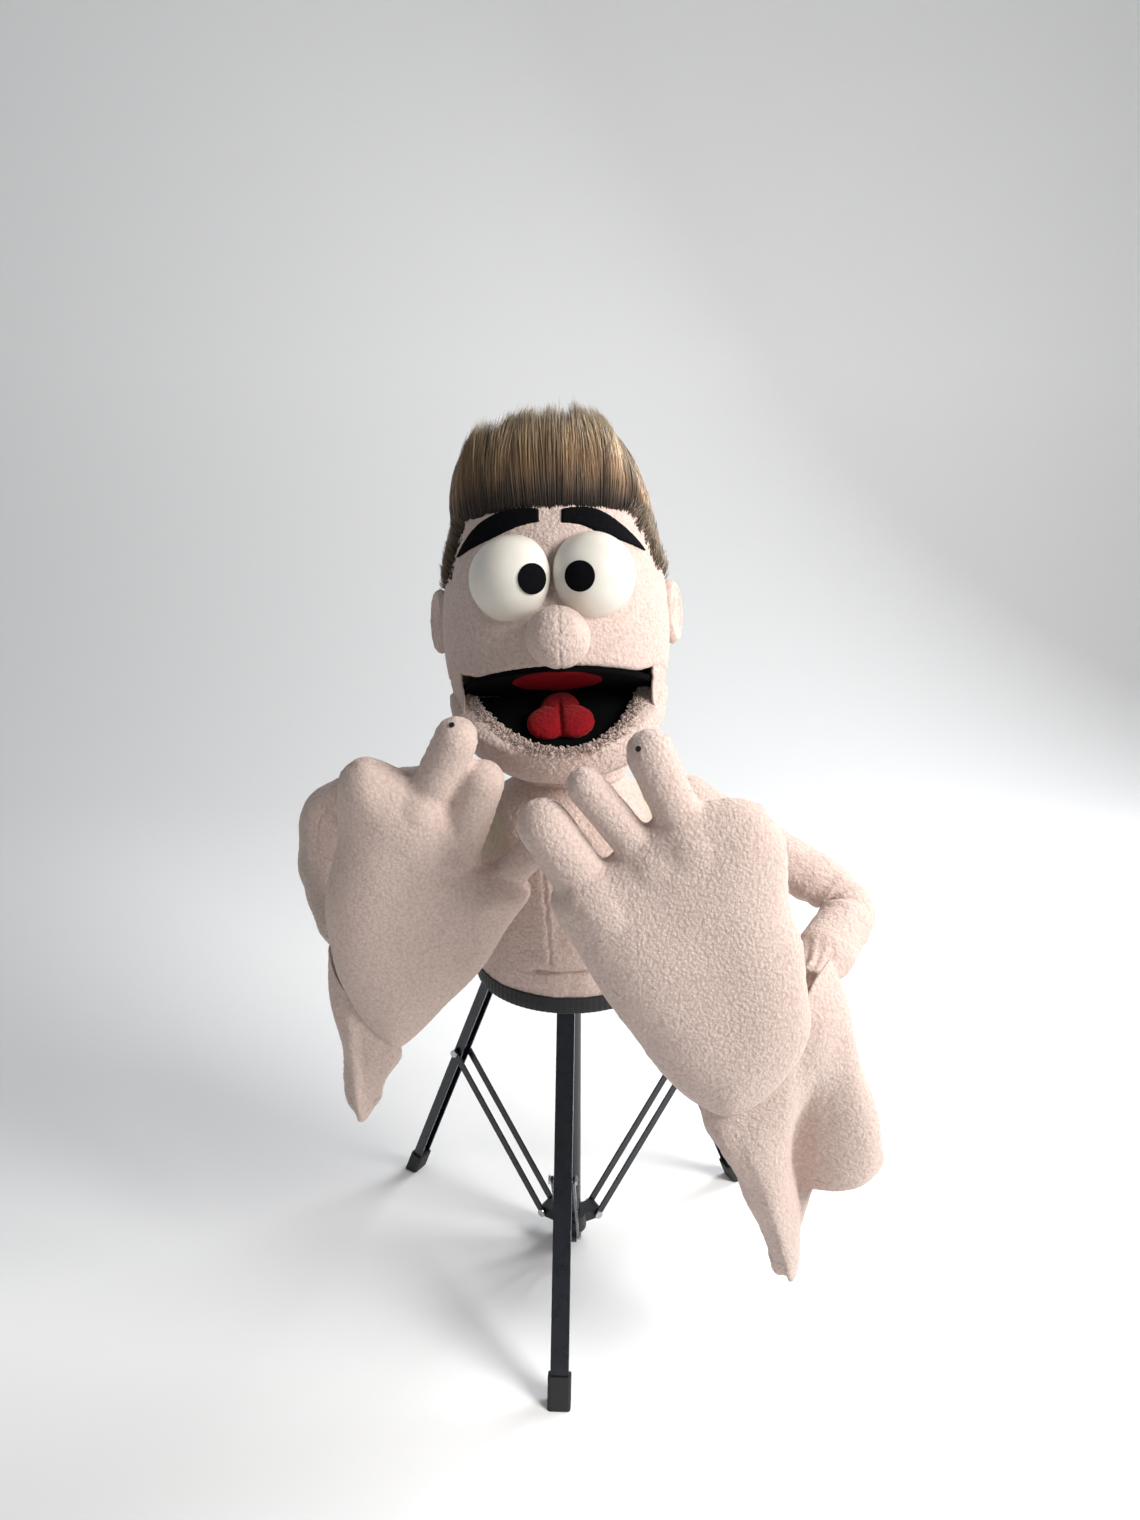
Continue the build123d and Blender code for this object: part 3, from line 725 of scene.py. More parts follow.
t1 = ball((-10, -44, 4), (17, 19, 8), 36)
t2 = ball((12.5, -43.5, 4), (17, 19, 8), 36)
t3 = ball((1, -26, 3), (17, 22, 6.5), 36)
o = join("tongue_plush", t1, t2, t3)
modify(o, ("REMESH", dict(mode="VOXEL", voxel_size=0.0011)), ("SMOOTH", dict(factor=0.5, iterations=4)))
P = co(o)
groove = 2.4 * np.exp(-((P[:, 0] - 1.2 + 0.05 * (P[:, 1] + 40)) / 2.0) ** 2) * smooth(-P[:, 1], 10, 30)
P[:, 2] -= groove * (P[:, 2] > 2)
P[:, 2] = np.maximum(P[:, 2], 0.25)
setco(o, tf(JAW, P))
nap(o, 0.22, 2.2, 9)
done(o, RED, "jaw", ("tongue",))

# jaw: fleece over foam, rolled in over the mouth plate's rim
JAWP = [(-60, 0), (-58, 34), (-50, 60), (-36, 80), (-18, 91), (0, 92)]
JP = cspline([(r, z) for z, r in JAWP], 500)[::-1]
rim_in = np.array([(-80, 3), (-77, -3), (-59, -35), (-27, -69), (6.5, -82), (34.5, -69), (56, -42), (69, -10), (74, 3)], float)
rim_c = cspline(rim_in, 400)
rim_a = np.arctan2(rim_c[:, 0], -(rim_c[:, 1] - 6))
rim_r = np.hypot(rim_c[:, 0], rim_c[:, 1] - 6)
cols, rows = int(300 * q), int(80 * q)
ph = np.linspace(-math.radians(86), math.radians(86), cols)
rollN = 16
G = np.zeros((rollN + rows, cols, 3))
for j, p in enumerate(ph):
    ri = min(np.interp(p, rim_a, rim_r), 88.0)
    dirn = np.array([math.sin(p), -math.cos(p)])
    hgt = 3.2 + 0.12 * (92 - ri)
    for i in range(rollN):
        f = i / rollN
        ang = math.pi * (1 - f)
        r = (ri + 92) / 2 + (92 - ri) / 2 * math.cos(ang)
        z = hgt * math.sin(ang) ** 0.7 + 0.15
        G[i, j] = (dirn[0] * r, 6 + dirn[1] * r, z)
    x, y, z = JP[:, 0] * dirn[0], 6 + JP[:, 0] * dirn[1], JP[:, 1]
    past = y > -4 + 0.601 * z + 7
    past[:3] = False
    k = np.argmax(past) if past.any() else len(JP) - 1
    s = np.linspace(0, max(k, 4), rows)
    kk = np.arange(len(JP))
    G[rollN:, j] = np.stack([np.interp(s, kk, x), np.interp(s, kk, y), np.interp(s, kk, z)], 1)
P = G.reshape(-1, 3)
cen = np.array([0, 6, -10.0])
nn = (P - cen) * np.array([1, 1, 1.2]); nn /= np.linalg.norm(nn, axis=1)[:, None]
P = P + nn * (1.2 * vnoise(P, 30, 11) - 0.7)[:, None]
jaw = grid("jaw_skin_fleece", tf(JAW, P).reshape(G.shape))
nap(jaw, 0.34, 2.5, 12)
modify(jaw, ("SOLIDIFY", dict(thickness=0.0019, offset=-1)))
done(jaw, SKIN, "jaw", ("jaw_skin",))


# cheeks: at each corner of the mouth a folded piece of the same fleece joins the head's edge to the jaw
for s_, side in ((-1, "left"), (1, "right")):
    n, m = 60, 34
    pa = np.radians(np.linspace(58, 128, n)) * s_
    top = head_edge(pa)
    pj = np.radians(np.linspace(64, 86, n)) * s_
    low = np.stack([np.sin(pj) * 91.0, 6 - np.cos(pj) * 91.0, np.linspace(1, -30, n)], 1)
    A, B = tf(HEAD, top), tf(JAW, low)
    out_ = np.stack([np.sin(pa), -np.cos(pa), pa * 0], 1)
    R = np.zeros((m, n, 3))
    for i in range(m):
        f = i / (m - 1)
        gap = np.linalg.norm(A - B, axis=1)[:, None]
        R[i] = A * (1 - f) + B * f + out_ * (-0.8 - 0.05 * gap * math.sin(math.pi * f) + 1.0 * math.sin(2 * math.pi * f))
    o = grid("cheek_fleece_" + side, R if s_ > 0 else R[:, ::-1])
    nap(o, 0.34, 2.5, 14)
    modify(o, ("SOLIDIFY", dict(thickness=0.0018, offset=-1)))
    o.data.materials.clear(); o.data.materials.append(SKIN)
    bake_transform(o)


# ------------------------------------------------------------------ fibres
def fibres(name, path, width, t_attr=None, r_attr=None, tip=0.12):
    """Many tapered three-sided fibres. path is (n, k, 3) in mm; width (n,) is the root width."""
    n, k = path.shape[:2]
    T = np.gradient(path, axis=1)
    T /= np.linalg.norm(T, axis=2)[..., None] + 1e-9
    ref = np.tile(np.array([0.31, 0.77, 0.55]), (n, k, 1))
    U = np.cross(T, ref)
    U /= np.linalg.norm(U, axis=2)[..., None] + 1e-9
    W = np.cross(T, U)
    tt = np.linspace(0, 1, k)
    prof = (1 - tt) ** 0.55 * (1 - tip) + tip
    rad = width[:, None] * 0.5 * prof[None]
    V = np.zeros((n, k, 3, 3))
    for i in range(3):
        a = 2 * math.pi * i / 3
        V[:, :, i] = path + rad[..., None] * (math.cos(a) * U + math.sin(a) * W)
    base = (np.arange(n) * k * 3)[:, None, None] + (np.arange(k - 1) * 3)[None, :, None]
    i = np.arange(3)[None, None, :]
    j = (np.arange(3)[None, None, :] + 1) % 3
    F = np.stack([base + i, base + j, base + 3 + j, base + 3 + i], -1).reshape(-1, 4)
    first = (np.arange(n) * k * 3)[:, None] + np.array([2, 1, 0])[None]
    last = (np.arange(n) * k * 3 + (k - 1) * 3)[:, None] + np.arange(3)[None]
    o = mesh_np(name, V.reshape(-1, 3), [F, first, last])
    t = np.broadcast_to((tt[None, :, None] if t_attr is None else t_attr[:, :, None]), (n, k, 3)).astype(np.float32)
    r = np.broadcast_to((np.zeros(n) if r_attr is None else r_attr)[:, None, None], (n, k, 3)).astype(np.float32)
    for nm, a in (("hair_t", t), ("hair_r", r)):
        at = o.data.attributes.new(nm, "FLOAT", "POINT")
        at.data.foreach_set("value", np.ascontiguousarray(a).ravel())
    return o


def strip_to_head(P):
    return tf(HEAD, P.reshape(-1, 3)).reshape(P.shape)


rng = np.random.default_rng(11)
# fleece curls standing along the mouth's cut edge
n = 2600
p = rng.uniform(-1.42, 1.42, n)
ri = np.minimum(np.interp(p, rim_a, rim_r), 88.0)
f = rng.random(n) ** 1.4
r = ri + f * np.minimum(92 - ri, 9)
base = np.stack([np.sin(p) * r, 6 - np.cos(p) * r, 2.0 + 2.6 * np.sin(math.pi * np.clip(f, 0.05, 0.8))], 1)
dirs = np.stack([-np.sin(p) * (0.8 - f), np.cos(p) * (0.8 - f), np.full(n, 0.9)], 1) + rng.normal(0, 0.5, (n, 3))
dirs /= np.linalg.norm(dirs, axis=1)[:, None]
side = np.cross(dirs, rng.normal(0, 1, (n, 3)))
side /= np.linalg.norm(side, axis=1)[:, None]
L = rng.uniform(2.6, 5.4, n)
k = 7
tt = np.linspace(0, 1, k)
path = base[:, None] + dirs[:, None] * (L[:, None] * np.sin(tt * 2.2) / 1.2)[..., None] + side[:, None] * (L[:, None] * 0.55 * (1 - np.cos(tt * 3.4)))[..., None]
o = fibres("jaw_fleece_curls", tf(JAW, path.reshape(-1, 3)).reshape(path.shape), rng.uniform(1.0, 1.6, n), tip=0.5)
done(o, SKIN, "jaw")

# quiff: long fibres combed up from the hairline into uneven locks
QP = np.array([(128, 84), (150, 88), (175, 83), (198, 72), (216, 56), (228, 32), (232, 0)], float)


def quiff(name, n, seed, lo, hi):
    g = np.random.default_rng(seed)
    phi = g.uniform(-math.pi, math.pi, n)
    a = g.uniform(lo, hi, n)                      # 0 at the hairline, 1 at the crown
    z0 = 127 + 5 * np.cos(phi) * 0 + a * 50
    z0 = np.clip(z0 + 4.5 * (1 - np.cos(phi)) * 0, 127, 179)
    root, N = on_head(phi, z0, 0.3)
    lock = np.stack([80 * np.sin(phi), -80 * np.cos(phi), z0 * 1.2], 1)
    n1, n2, n3 = vnoise(lock, 15, 1), vnoise(lock, 15, 2), vnoise(lock, 9, 3)
    rt = (81 * (1 - a) + 4 * a) * (1 + 0.06 * n1)
    dphi = 0.13 * n2 + g.normal(0, 0.035, n)
    p2 = phi + dphi
    xt, yt = 0.98 * rt * np.sin(p2), -rt * np.cos(p2)
    yt = np.where(yt < 0, 0.72 * yt, yt) + 4 + 6 * n3
    ztop = np.interp(xt, [-92, -87, -74, -60, -11, 24, 55, 66, 76, 88], [140, 168, 205, 214, 229, 232, 210, 189, 161, 130])
    fall = np.where(yt < 0, 0.45 * np.clip(-yt / 90, 0, 1) ** 3, 1 - np.sqrt(1 - np.clip(yt / 92, 0, 1) ** 3))
    zt = 127 + (ztop - 127) * (1 - fall) - 7 + 11 * n1 + 6.5 * n3 + g.normal(0, 2.0, n)
    tip = np.stack([xt, yt, zt], 1)
    rb = np.minimum(np.hypot(root[:, 0], root[:, 1]) * 0.55 + 49 + g.normal(0, 1.5, n) - 14 * a, 94)
    pm = phi + 0.4 * dphi
    mid = np.stack([rb * np.sin(pm), -rb * np.cos(pm), z0 * 0.45 + zt * 0.55], 1)
    mid = np.where((a[:, None] > 0.5), (root + tip) / 2 + N * 4, mid)
    k = 8
    tt = np.linspace(0, 1, k)[None, :, None]
    path = (1 - tt) ** 2 * root[:, None] + 2 * tt * (1 - tt) * mid[:, None] + tt ** 2 * tip[:, None]
    wig = g.normal(0, 0.8, (n, 1, 3)) * np.sin(tt * math.pi * 1.6) * tt
    path = path + wig
    sh = 0.45 + 0.42 * vnoise(lock, 7, 5) + 0.18 * vnoise(lock, 24, 6) + g.normal(0, 0.16, n)
    o = fibres(name, strip_to_head(path), g.uniform(0.55, 1.0, n), None, np.clip(sh, 0, 1))
    return o


nq = int(4400 * (1))
for i, (lo, hi) in enumerate(((0.0, 0.16), (0.0, 0.45), (0.3, 1.0))):
    o = quiff("quiff_fibres_%d" % (i + 1), nq, 31 + i, lo, hi)
    done(o, HAIR, "head")

# a backing under the fibres, dark brown as painted shade among the fibre roots
pr = cspline([(r, z) for z, r in [(125, 83.5), (145, 82), (165, 74), (184, 58), (197, 36), (202, 0)]], 60)
ph = np.linspace(0, 2 * math.pi, 120, endpoint=False)
R = np.stack([np.outer(pr[:, 0], np.sin(ph)), -np.outer(pr[:, 0], np.cos(ph)), np.outer(pr[:, 1], np.ones(120))], -1)
R[:, :, 2] += 2.5 * vnoise(R.reshape(-1, 3), 12, 4).reshape(R.shape[:2])
o = grid("quiff_backing", strip_to_head(R), True)
push(o, 0.9 * vnoise(co(o), 5, 3))
done(o, SCALP, "head", ("hair_quiff",))

# short pile on the sides and back
EDGE_Z = [-46, 20, 69, 74, 82, 111, 134, 150]
EDGE_L = [30, 24, 24, 5, -42, -45, -51, -60]
EDGE_R = [30, 24, 24, 5, -42, -50, -59, -66]


def fur_ok(P):
    ye = np.where(P[:, 0] < 0, np.interp(P[:, 2], EDGE_Z, EDGE_L), np.interp(P[:, 2], EDGE_Z, EDGE_R))
    ear = np.hypot((P[:, 1] - 2) / 19, (P[:, 2] - 54) / 30) < 1
    return (P[:, 1] > ye) & ~(ear & (np.abs(P[:, 0]) > 60)) & (P[:, 2] > -26 + 0 * P[:, 0]) & ~((P[:, 1] < 30) & (P[:, 2] < 24))


def fur(name, n, seed, pick):
    g = np.random.default_rng(seed)
    phi = g.uniform(-math.pi, math.pi, n * 4)
    z0 = g.uniform(-26, 140, n * 4)
    root, N = on_head(phi, z0, 0.2)
    ok = fur_ok(root) & pick(root)
    root, N, phi = root[ok][:n], N[ok][:n], phi[ok][:n]
    n = len(root)
    back = smooth(root[:, 1], 20, 75)
    az = np.stack([np.cos(phi), np.sin(phi), np.zeros(n)], 1) * np.where(root[:, 0] > 0, 1, -1)[:, None]
    up = np.array([0, 0, 1.0])
    t = (1 - back)[:, None] * (0.75 * up + 0.65 * az) + back[:, None] * (-1.0 * up)
    lk = np.stack([vnoise(root, 12, 8), vnoise(root, 12, 9), vnoise(root, 12, 10)], 1)
    t = t + 0.45 * lk + g.normal(0, 0.12, (n, 3))
    t -= (t * N).sum(1)[:, None] * N
    t /= np.linalg.norm(t, axis=1)[:, None]
    L = g.uniform(15, 23, n) * (1 - 0.25 * back)
    k = 6
    tt = np.linspace(0, 1, k)[None, :, None]
    lift = (3.6 + 1.6 * vnoise(root, 10, 12) + g.normal(0, 0.9, n))[:, None, None]
    path = root[:, None] + t[:, None] * L[:, None, None] * tt + N[:, None] * (lift * np.sin(np.minimum(tt * 1.9, 1.57)) + tt * 1.6)
    path[:, :, :2] -= 0
    sh = 0.45 + 0.35 * vnoise(root, 6, 13) + g.normal(0, 0.17, n)
    return fibres(name, strip_to_head(path), g.uniform(0.7, 1.2, n), None, np.clip(sh, 0, 1))


nf = int(6100 * (1))
for name, seed, pick in (("side_fur_left", 41, lambda P: (P[:, 0] < 0) & (P[:, 1] < 45)),
                         ("side_fur_right", 42, lambda P: (P[:, 0] >= 0) & (P[:, 1] < 45)),
                         ("back_fur_upper", 43, lambda P: (P[:, 1] >= 35) & (P[:, 2] > 52)),
                         ("back_fur_lower", 44, lambda P: (P[:, 1] >= 30) & (P[:, 2] <= 58))):
    o = fur(name, nf, seed, pick)
    done(o, FUR, "head")

# a backing under the short pile, dark brown as painted shade among the fibre roots
ph = np.linspace(0, 2 * math.pi, 260, endpoint=False)
zz = np.linspace(-25, 138, 110)
PH, ZZ = np.meshgrid(ph, zz)
Q, N = on_head(PH.ravel(), ZZ.ravel(), 0.0)
ok = fur_ok(Q)
Q = Q + N * (1.3 + 0.5 * vnoise(Q, 4, 2))[:, None]
idx = np.arange(len(Q)).reshape(PH.shape)
okg = ok.reshape(PH.shape)
a, b = idx[:-1], idx[1:]
quads = np.stack([a, np.roll(a, -1, 1), np.roll(b, -1, 1), b], -1)
keep = okg[:-1] & np.roll(okg[:-1], -1, 1) & okg[1:] & np.roll(okg[1:], -1, 1)
Fq = quads[keep]
used = np.unique(Fq)
remap = np.zeros(len(Q), int); remap[used] = np.arange(len(used))
o = mesh_np("fur_backing", tf(HEAD, Q[used]), remap[Fq])
done(o, SCALP, "head", ("hair_back",))

# ------------------------------------------------------------------ neck, torso, hem
ph = np.linspace(0, 2 * math.pi, 200, endpoint=False)
rows = []
for f in np.linspace(0, 1, 50):
    r = 76 + (50 - 76) * smooth(f, 0, 1)
    z = 578 + (516 - 578) * f
    c = np.array([-6, 2.0]) * (1 - f)
    rows.append(np.stack([c[0] + r * np.sin(ph) * (1 + 0.012 * np.sin(9 * ph) * math.sin(f * 3.1)), c[1] - r * np.cos(ph), np.full(200, z)], -1))
R = np.array(rows)
o = grid("throat_skin_fleece", R, True)
nap(o, 0.3, 2.6, 15)
modify(o, ("SOLIDIFY", dict(thickness=0.0018, offset=-1)))
o.data.materials.clear(); o.data.materials.append(SKIN)
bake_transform(o)

rows = []
for f in np.linspace(0, 1, 36):
    r = 57 - 8.5 * smooth(f, 0, 0.55)
    rows.append(np.stack([r * np.sin(ph), -r * np.cos(ph), np.full(200, 499 + 30 * f)], -1))
R = np.array(rows)
o = grid("neck_skin_fleece", R, True)
nap(o, 0.3, 2.6, 16)
modify(o, ("SOLIDIFY", dict(thickness=0.0018, offset=-1)))
o.data.materials.clear(); o.data.materials.append(SKIN)
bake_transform(o)

BODY = [(330, 88.6), (360, 89), (410, 88.4), (450, 87), (480, 80), (495, 68), (503, 56)]
bp = cspline([(r, z) for z, r in BODY], 400)
cols, rows_ = int(330 * q), int(120 * q)
s = np.linspace(0, 399, rows_)
ph = np.linspace(0, 2 * math.pi, cols, endpoint=False)
r_ = np.interp(s, np.arange(400), bp[:, 0]); z_ = np.interp(s, np.arange(400), bp[:, 1])
R = np.stack([np.outer(r_, np.sin(ph)), -np.outer(r_, np.cos(ph)), np.outer(z_, np.ones(cols))], -1)
P = R.reshape(-1, 3)
rad = P * np.array([1, 1, 0]); rad /= np.linalg.norm(rad, axis=1)[:, None]
X, Z = P[:, 0], P[:, 2]
frontm = P[:, 1] < 0
d = -2.0 * np.exp(-((X + 16 + 0.078 * (Z - 356)) / 1.4) ** 2) * frontm * smooth(Z, 354, 366)
d += 1.3 * np.exp(-((X + 16 + 0.078 * (Z - 356)) / 6.5) ** 2) * frontm * smooth(Z, 354, 366)
# sewn navel: a short level crease under the end of the centre seam, with the belly swelling above and below it
nav = np.exp(-((Z - (356 + 0.0015 * (X + 8) ** 2)) / 1.9) ** 2) * smooth(27 - np.abs(X + 8), 0, 8) * frontm
d += -3.6 * nav
d += 2.2 * np.exp(-((Z - 366) / 8) ** 2) * smooth(38 - np.abs(X + 8), 0, 22) * frontm
d += 2.0 * np.exp(-((Z - 347) / 6) ** 2) * smooth(38 - np.abs(X + 8), 0, 22) * frontm
d += -1.5 * np.exp(-((X) / 1.2) ** 2) * (P[:, 1] > 0)
for s_ in (-1, 1):
    d += -1.2 * np.exp(-((P[:, 1] - 6) / 1.2) ** 2) * (X * s_ > 0) * (Z < 470)
d += 1.5 * vnoise(P, 40, 17) + 0.8 * vnoise(P * np.array([1, 1, 0.35]), 15, 18)
d -= 1.3
o = grid("torso_skin_fleece", (P + rad * d[:, None]).reshape(R.shape), True)
nap(o, 0.3, 2.6, 19)
modify(o, ("SOLIDIFY", dict(thickness=0.0019, offset=-1)))
done(o, SKIN, "torso", ("torso_skin",))

hp = [(86.6, 316.4), (88.4, 316.0), (89.3, 318.6), (89.6, 323.6), (89.3, 328.6), (88.6, 331.8), (86.8, 331.6), (86.3, 328), (86.2, 321), (86.6, 316.4)]
hpc = cspline(hp, 40)[:-1]
ph = np.linspace(0, 2 * math.pi, 520, endpoint=False)
R = np.stack([np.outer(hpc[:, 0], np.sin(ph)), -np.outer(hpc[:, 0], np.cos(ph)), np.outer(hpc[:, 1], np.ones(520))], -1)
R = np.swapaxes(R, 0, 1)
wob = 0.22 * np.sin(ph * 105)[:, None] * (hpc[:, 0] > 88.3)[None]
R[..., 0] += wob * np.sin(ph)[:, None]
R[..., 1] -= wob * np.cos(ph)[:, None]
idx = np.arange(R.shape[0] * R.shape[1]).reshape(R.shape[:2])
a = idx; b = np.roll(idx, -1, 0)
F = np.stack([a, np.roll(a, -1, 1), np.roll(b, -1, 1), b], -1).reshape(-1, 4)
o = mesh_np("hem_band_knit", R.reshape(-1, 3), F)
done(o, HEM, "torso", ("hem_band",))

# ------------------------------------------------------------------ gloves
GLOVE = {
    "left": dict(plane=(-150.0, 600.0, 0.157), T=38, H=25.0, R=46.0, s=1,
        palm=[(-180, 562), (-161, 575), (-125, 559), (-95, 537), (-76, 486), (-45, 471), (-30, 454), (-42, 435), (-71, 382), (-119, 324), (-151, 293), (-180, 318), (-200, 379), (-204, 426), (-200, 460), (-188, 497), (-185, 528)],
        fingers=[((-87, 591), (-114, 537), 17), ((-68, 554), (-89, 492), 17), ((-24, 497), (-66, 454), 14)]),
    "right": dict(plane=(-184.0, 585.0, 0.07), T=44, H=28.0, R=50.0, s=-1,
        palm=[(-8, 490), (32, 510), (64, 539), (97, 552), (123, 555), (145, 549), (161, 523), (165, 476), (177, 442), (188, 372), (182, 345), (151, 306), (124, 293), (96, 308), (63, 345), (23, 405), (-4, 451), (-16, 475)],
        fingers=[((-20, 535), (23, 471), 20), ((11, 565), (60, 507), 14), ((59, 590), (90, 523), 17)]),
}
for side, g in GLOVE.items():
    y0, zz0, kk = g["plane"]
    sg = g["s"]
    src = NODES["glove_" + side]
    o = bpy.data.objects.new("glove_fleece_" + side, src.data.copy())
    scene.collection.objects.link(o)
    modify(o, ("REMESH", dict(mode="VOXEL", voxel_size=0.003)))
    P = co(o)
    nrm = np.array([0, -1, -sg * kk]); nrm /= np.linalg.norm(nrm)
    w = (P - np.array([0, y0, zz0])) @ nrm
    # place on the glove's own plane
    base = P - w[:, None] * nrm
    X, Z = base[:, 0], base[:, 2]
    palm = closed_curve(g["palm"], 200)
    dp = edge_dist(palm, X, Z) * np.where(inside(palm, X, Z), 1, -1)
    rr = np.clip(dp / g["R"], 0, 1)
    hp_ = g["H"] * np.sqrt(np.maximum(1 - (1 - rr) ** 2, 0))
    hc = np.where(dp > 0, g["T"] / 2, 0.0)
    hf = np.zeros(len(P))
    for (xa, za), (xb, zb), r in g["fingers"]:
        A, B = np.array([xa, za]), np.array([xb, zb])
        AB = B - A
        t = np.clip(((X - xa) * AB[0] + (Z - za) * AB[1]) / (AB @ AB), 0, 1)
        D = np.hypot(X - xa - t * AB[0], Z - za - t * AB[1])
        hf = np.maximum(hf, np.sqrt(np.maximum(r * r - D * D, 0)))
        hc = np.maximum(hc, np.sqrt(np.maximum(r * r - D * D, 0)))
    hnew = (hp_ ** 3 + hf ** 3) ** (1 / 3)
    w2 = w * np.clip(hnew / np.maximum(hc, 3.0), 0.05, 1.6)
    setco(o, base + w2[:, None] * nrm)
    modify(o, ("REMESH", dict(mode="VOXEL", voxel_size=0.0028)), ("SMOOTH", dict(factor=0.5, iterations=7)))
    modify(o, ("SUBSURF", dict(levels=1, render_levels=1, subdivision_type="CATMULL_CLARK")))
    P = co(o)
    w = (P - np.array([0, y0, zz0])) @ nrm
    n0 = normals(o)
    edge = 1 - np.abs(n0 @ nrm)
    X, Z = P[:, 0], P[:, 2]
    d = (1.3 if side == "right" else 0.4) + 1.2 * vnoise(P, 38, 20)
    # seam along the glove's outline, with small puckers each side of it
    seam = np.exp(-(w / 1.3) ** 2) * smooth(edge, 0.55, 0.9)
    puck = np.sin((X + Z) / 1.9 + 4 * vnoise(P, 11, 21)) * np.exp(-(w / 7.0) ** 2) * smooth(edge, 0.35, 0.9)
    d += -1.5 * seam + 0.35 * puck
    # cloth drawn in at the roots of the fingers
    for (xa, za), (xb, zb), r in g["fingers"]:
        D = np.hypot(X - xb, Z - zb)
        d += -0.8 * np.exp(-((D - r * 0.9) / 4) ** 2) * (w > 0) * 0.5
    push(o, d)
    nap(o, 0.15 if side == "right" else 0.07, 2.1, 22)
    done(o, SKIN if side == "right" else SKIN_SMOOTH, "hand_" + side, ("glove_" + side,))

# ------------------------------------------------------------------ arms
SHOULDER = {"left": (-90.0, 4.0, 497.0), "right": (90.0, 4.0, 497.0)}
ELBOW = {"left": (-228.0, 24.0, 476.0), "right": (253.0, -58.0, 409.0)}
FORE_MID = (-231.0, 4.0, 418.0)
WRIST = {"left": (-190.0, -76.0, 372.0), "right": (200.0, -140.0, 384.0)}
for side in ("left", "right"):
    S, E, W = (np.array(v[side]) for v in (SHOULDER, ELBOW, WRIST))
    K = np.array(FORE_MID) if side == "left" else W
    u1, u2 = (E - S) / np.linalg.norm(E - S), (K - E) / np.linalg.norm(K - E)
    a, b = E - u1 * 26, E + u2 * 26
    pts = [S - u1 * 8]
    pts += [S + u1 * t for t in np.linspace(0, np.linalg.norm(E - S) - 26, 30)]
    for t in np.linspace(0.1, 0.9, 12):
        pts.append((1 - t) ** 2 * a + 2 * t * (1 - t) * E + t * t * b)
    if side == "left":
        u3 = (W - K) / np.linalg.norm(W - K)
        c1, c3 = K - u2 * 18, K + u3 * 18
        pts += [b + (c1 - b) * t for t in np.linspace(0, 1, 6)]
        pts += [(1 - t) ** 2 * c1 + 2 * t * (1 - t) * K + t * t * c3 for t in np.linspace(0.12, 0.88, 8)]
        pts += [c3 + u3 * t for t in np.linspace(0, np.linalg.norm(W - K) - 18 + 6, 10)]
    else:
        pts += [b + u2 * t for t in np.linspace(0, np.linalg.norm(W - E) - 26 + 10, 24)]
    c = cspline(np.array(pts), int(260 * q))
    T = np.gradient(c, axis=0); T /= np.linalg.norm(T, axis=1)[:, None]
    bend = (u2 - u1); bend /= np.linalg.norm(bend)          # towards the inside of the elbow
    U = bend - (T @ bend)[:, None] * T
    U /= np.linalg.norm(U, axis=1)[:, None]
    V = np.cross(T, U)
    L = np.concatenate([[0], np.cumsum(np.linalg.norm(np.diff(c, axis=0), axis=1))])
    le = np.linalg.norm(E - S) + 8 - 10
    r = 23.2 * (1 - 0.24 * np.exp(-((L - le) / 15) ** 2)) * (0.62 + 0.38 * smooth(L, 0, 30)) * (1 - 0.42 * smooth(L, L[-1] - 42, L[-1]))
    th = np.linspace(0, 2 * math.pi, int(110 * q), endpoint=False)
    inner = 0.5 + 0.5 * np.cos(th)
    fold = np.exp(-((L - le) / 26) ** 2)
    R = np.zeros((len(L), len(th), 3))
    for i in range(len(L)):
        rr = r[i] * (1 + 0.06 * np.cos(2 * th)) * (1 + fold[i] * (-0.20 * inner + 0.16 * (1 - inner)))
        rr = rr + fold[i] * inner ** 1.0 * 3.2 * np.sin((L[i] - le) / 3.1 + 1.2 * np.sin(th))
        rr = rr + fold[i] * (1 - inner) * 0.8 * np.sin((L[i] - le) / 5.2 + np.sin(th * 2))
        rr = rr - 1.5 * np.exp(-((((th - math.pi / 2 + math.pi) % (2 * math.pi)) - math.pi) / 0.05) ** 2)
        g_ = smooth(L[i], L[-1] - 45, L[-1])
        rr = rr + g_ * 1.3 * np.sin(th * 11 + 1.5 * math.sin(L[i] / 9))
        R[i] = c[i] + rr[:, None] * (np.cos(th)[:, None] * U[i] + np.sin(th)[:, None] * V[i])
    o = grid("arm_fleece_" + side, R[:, ::-1], True, True, True)
    P = co(o)
    push(o, 1.6 * vnoise(P, 34, 25) + 0.7 * vnoise(P, 13, 26))
    nap(o, 0.28, 2.5, 27)
    o.data.materials.clear(); o.data.materials.append(SKIN)
    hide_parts("upper_arm_" + side, "forearm_" + side)
    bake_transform(o)

# ------------------------------------------------------------------ cuffs: thin open sleeves below the gloves
def ring(pts, n):
    """Closed smooth curve with the same number of samples between each two points, so that columns of samples run straight from ring to ring."""
    p = np.asarray(pts, float)
    k = len(p)
    q_ = np.vstack([p[-3:], p, p[:3]])
    c = cspline(q_, 2400)
    t = np.concatenate([[0], np.cumsum(np.linalg.norm(np.diff(q_, axis=0), axis=1))])
    s_ = np.linspace(0, t[-1], 2400)
    u = np.interp(np.linspace(3, 3 + k, n, endpoint=False), np.arange(len(t)), t)
    return np.stack([np.interp(u, s_, c[:, i]) for i in range(3)], 1)


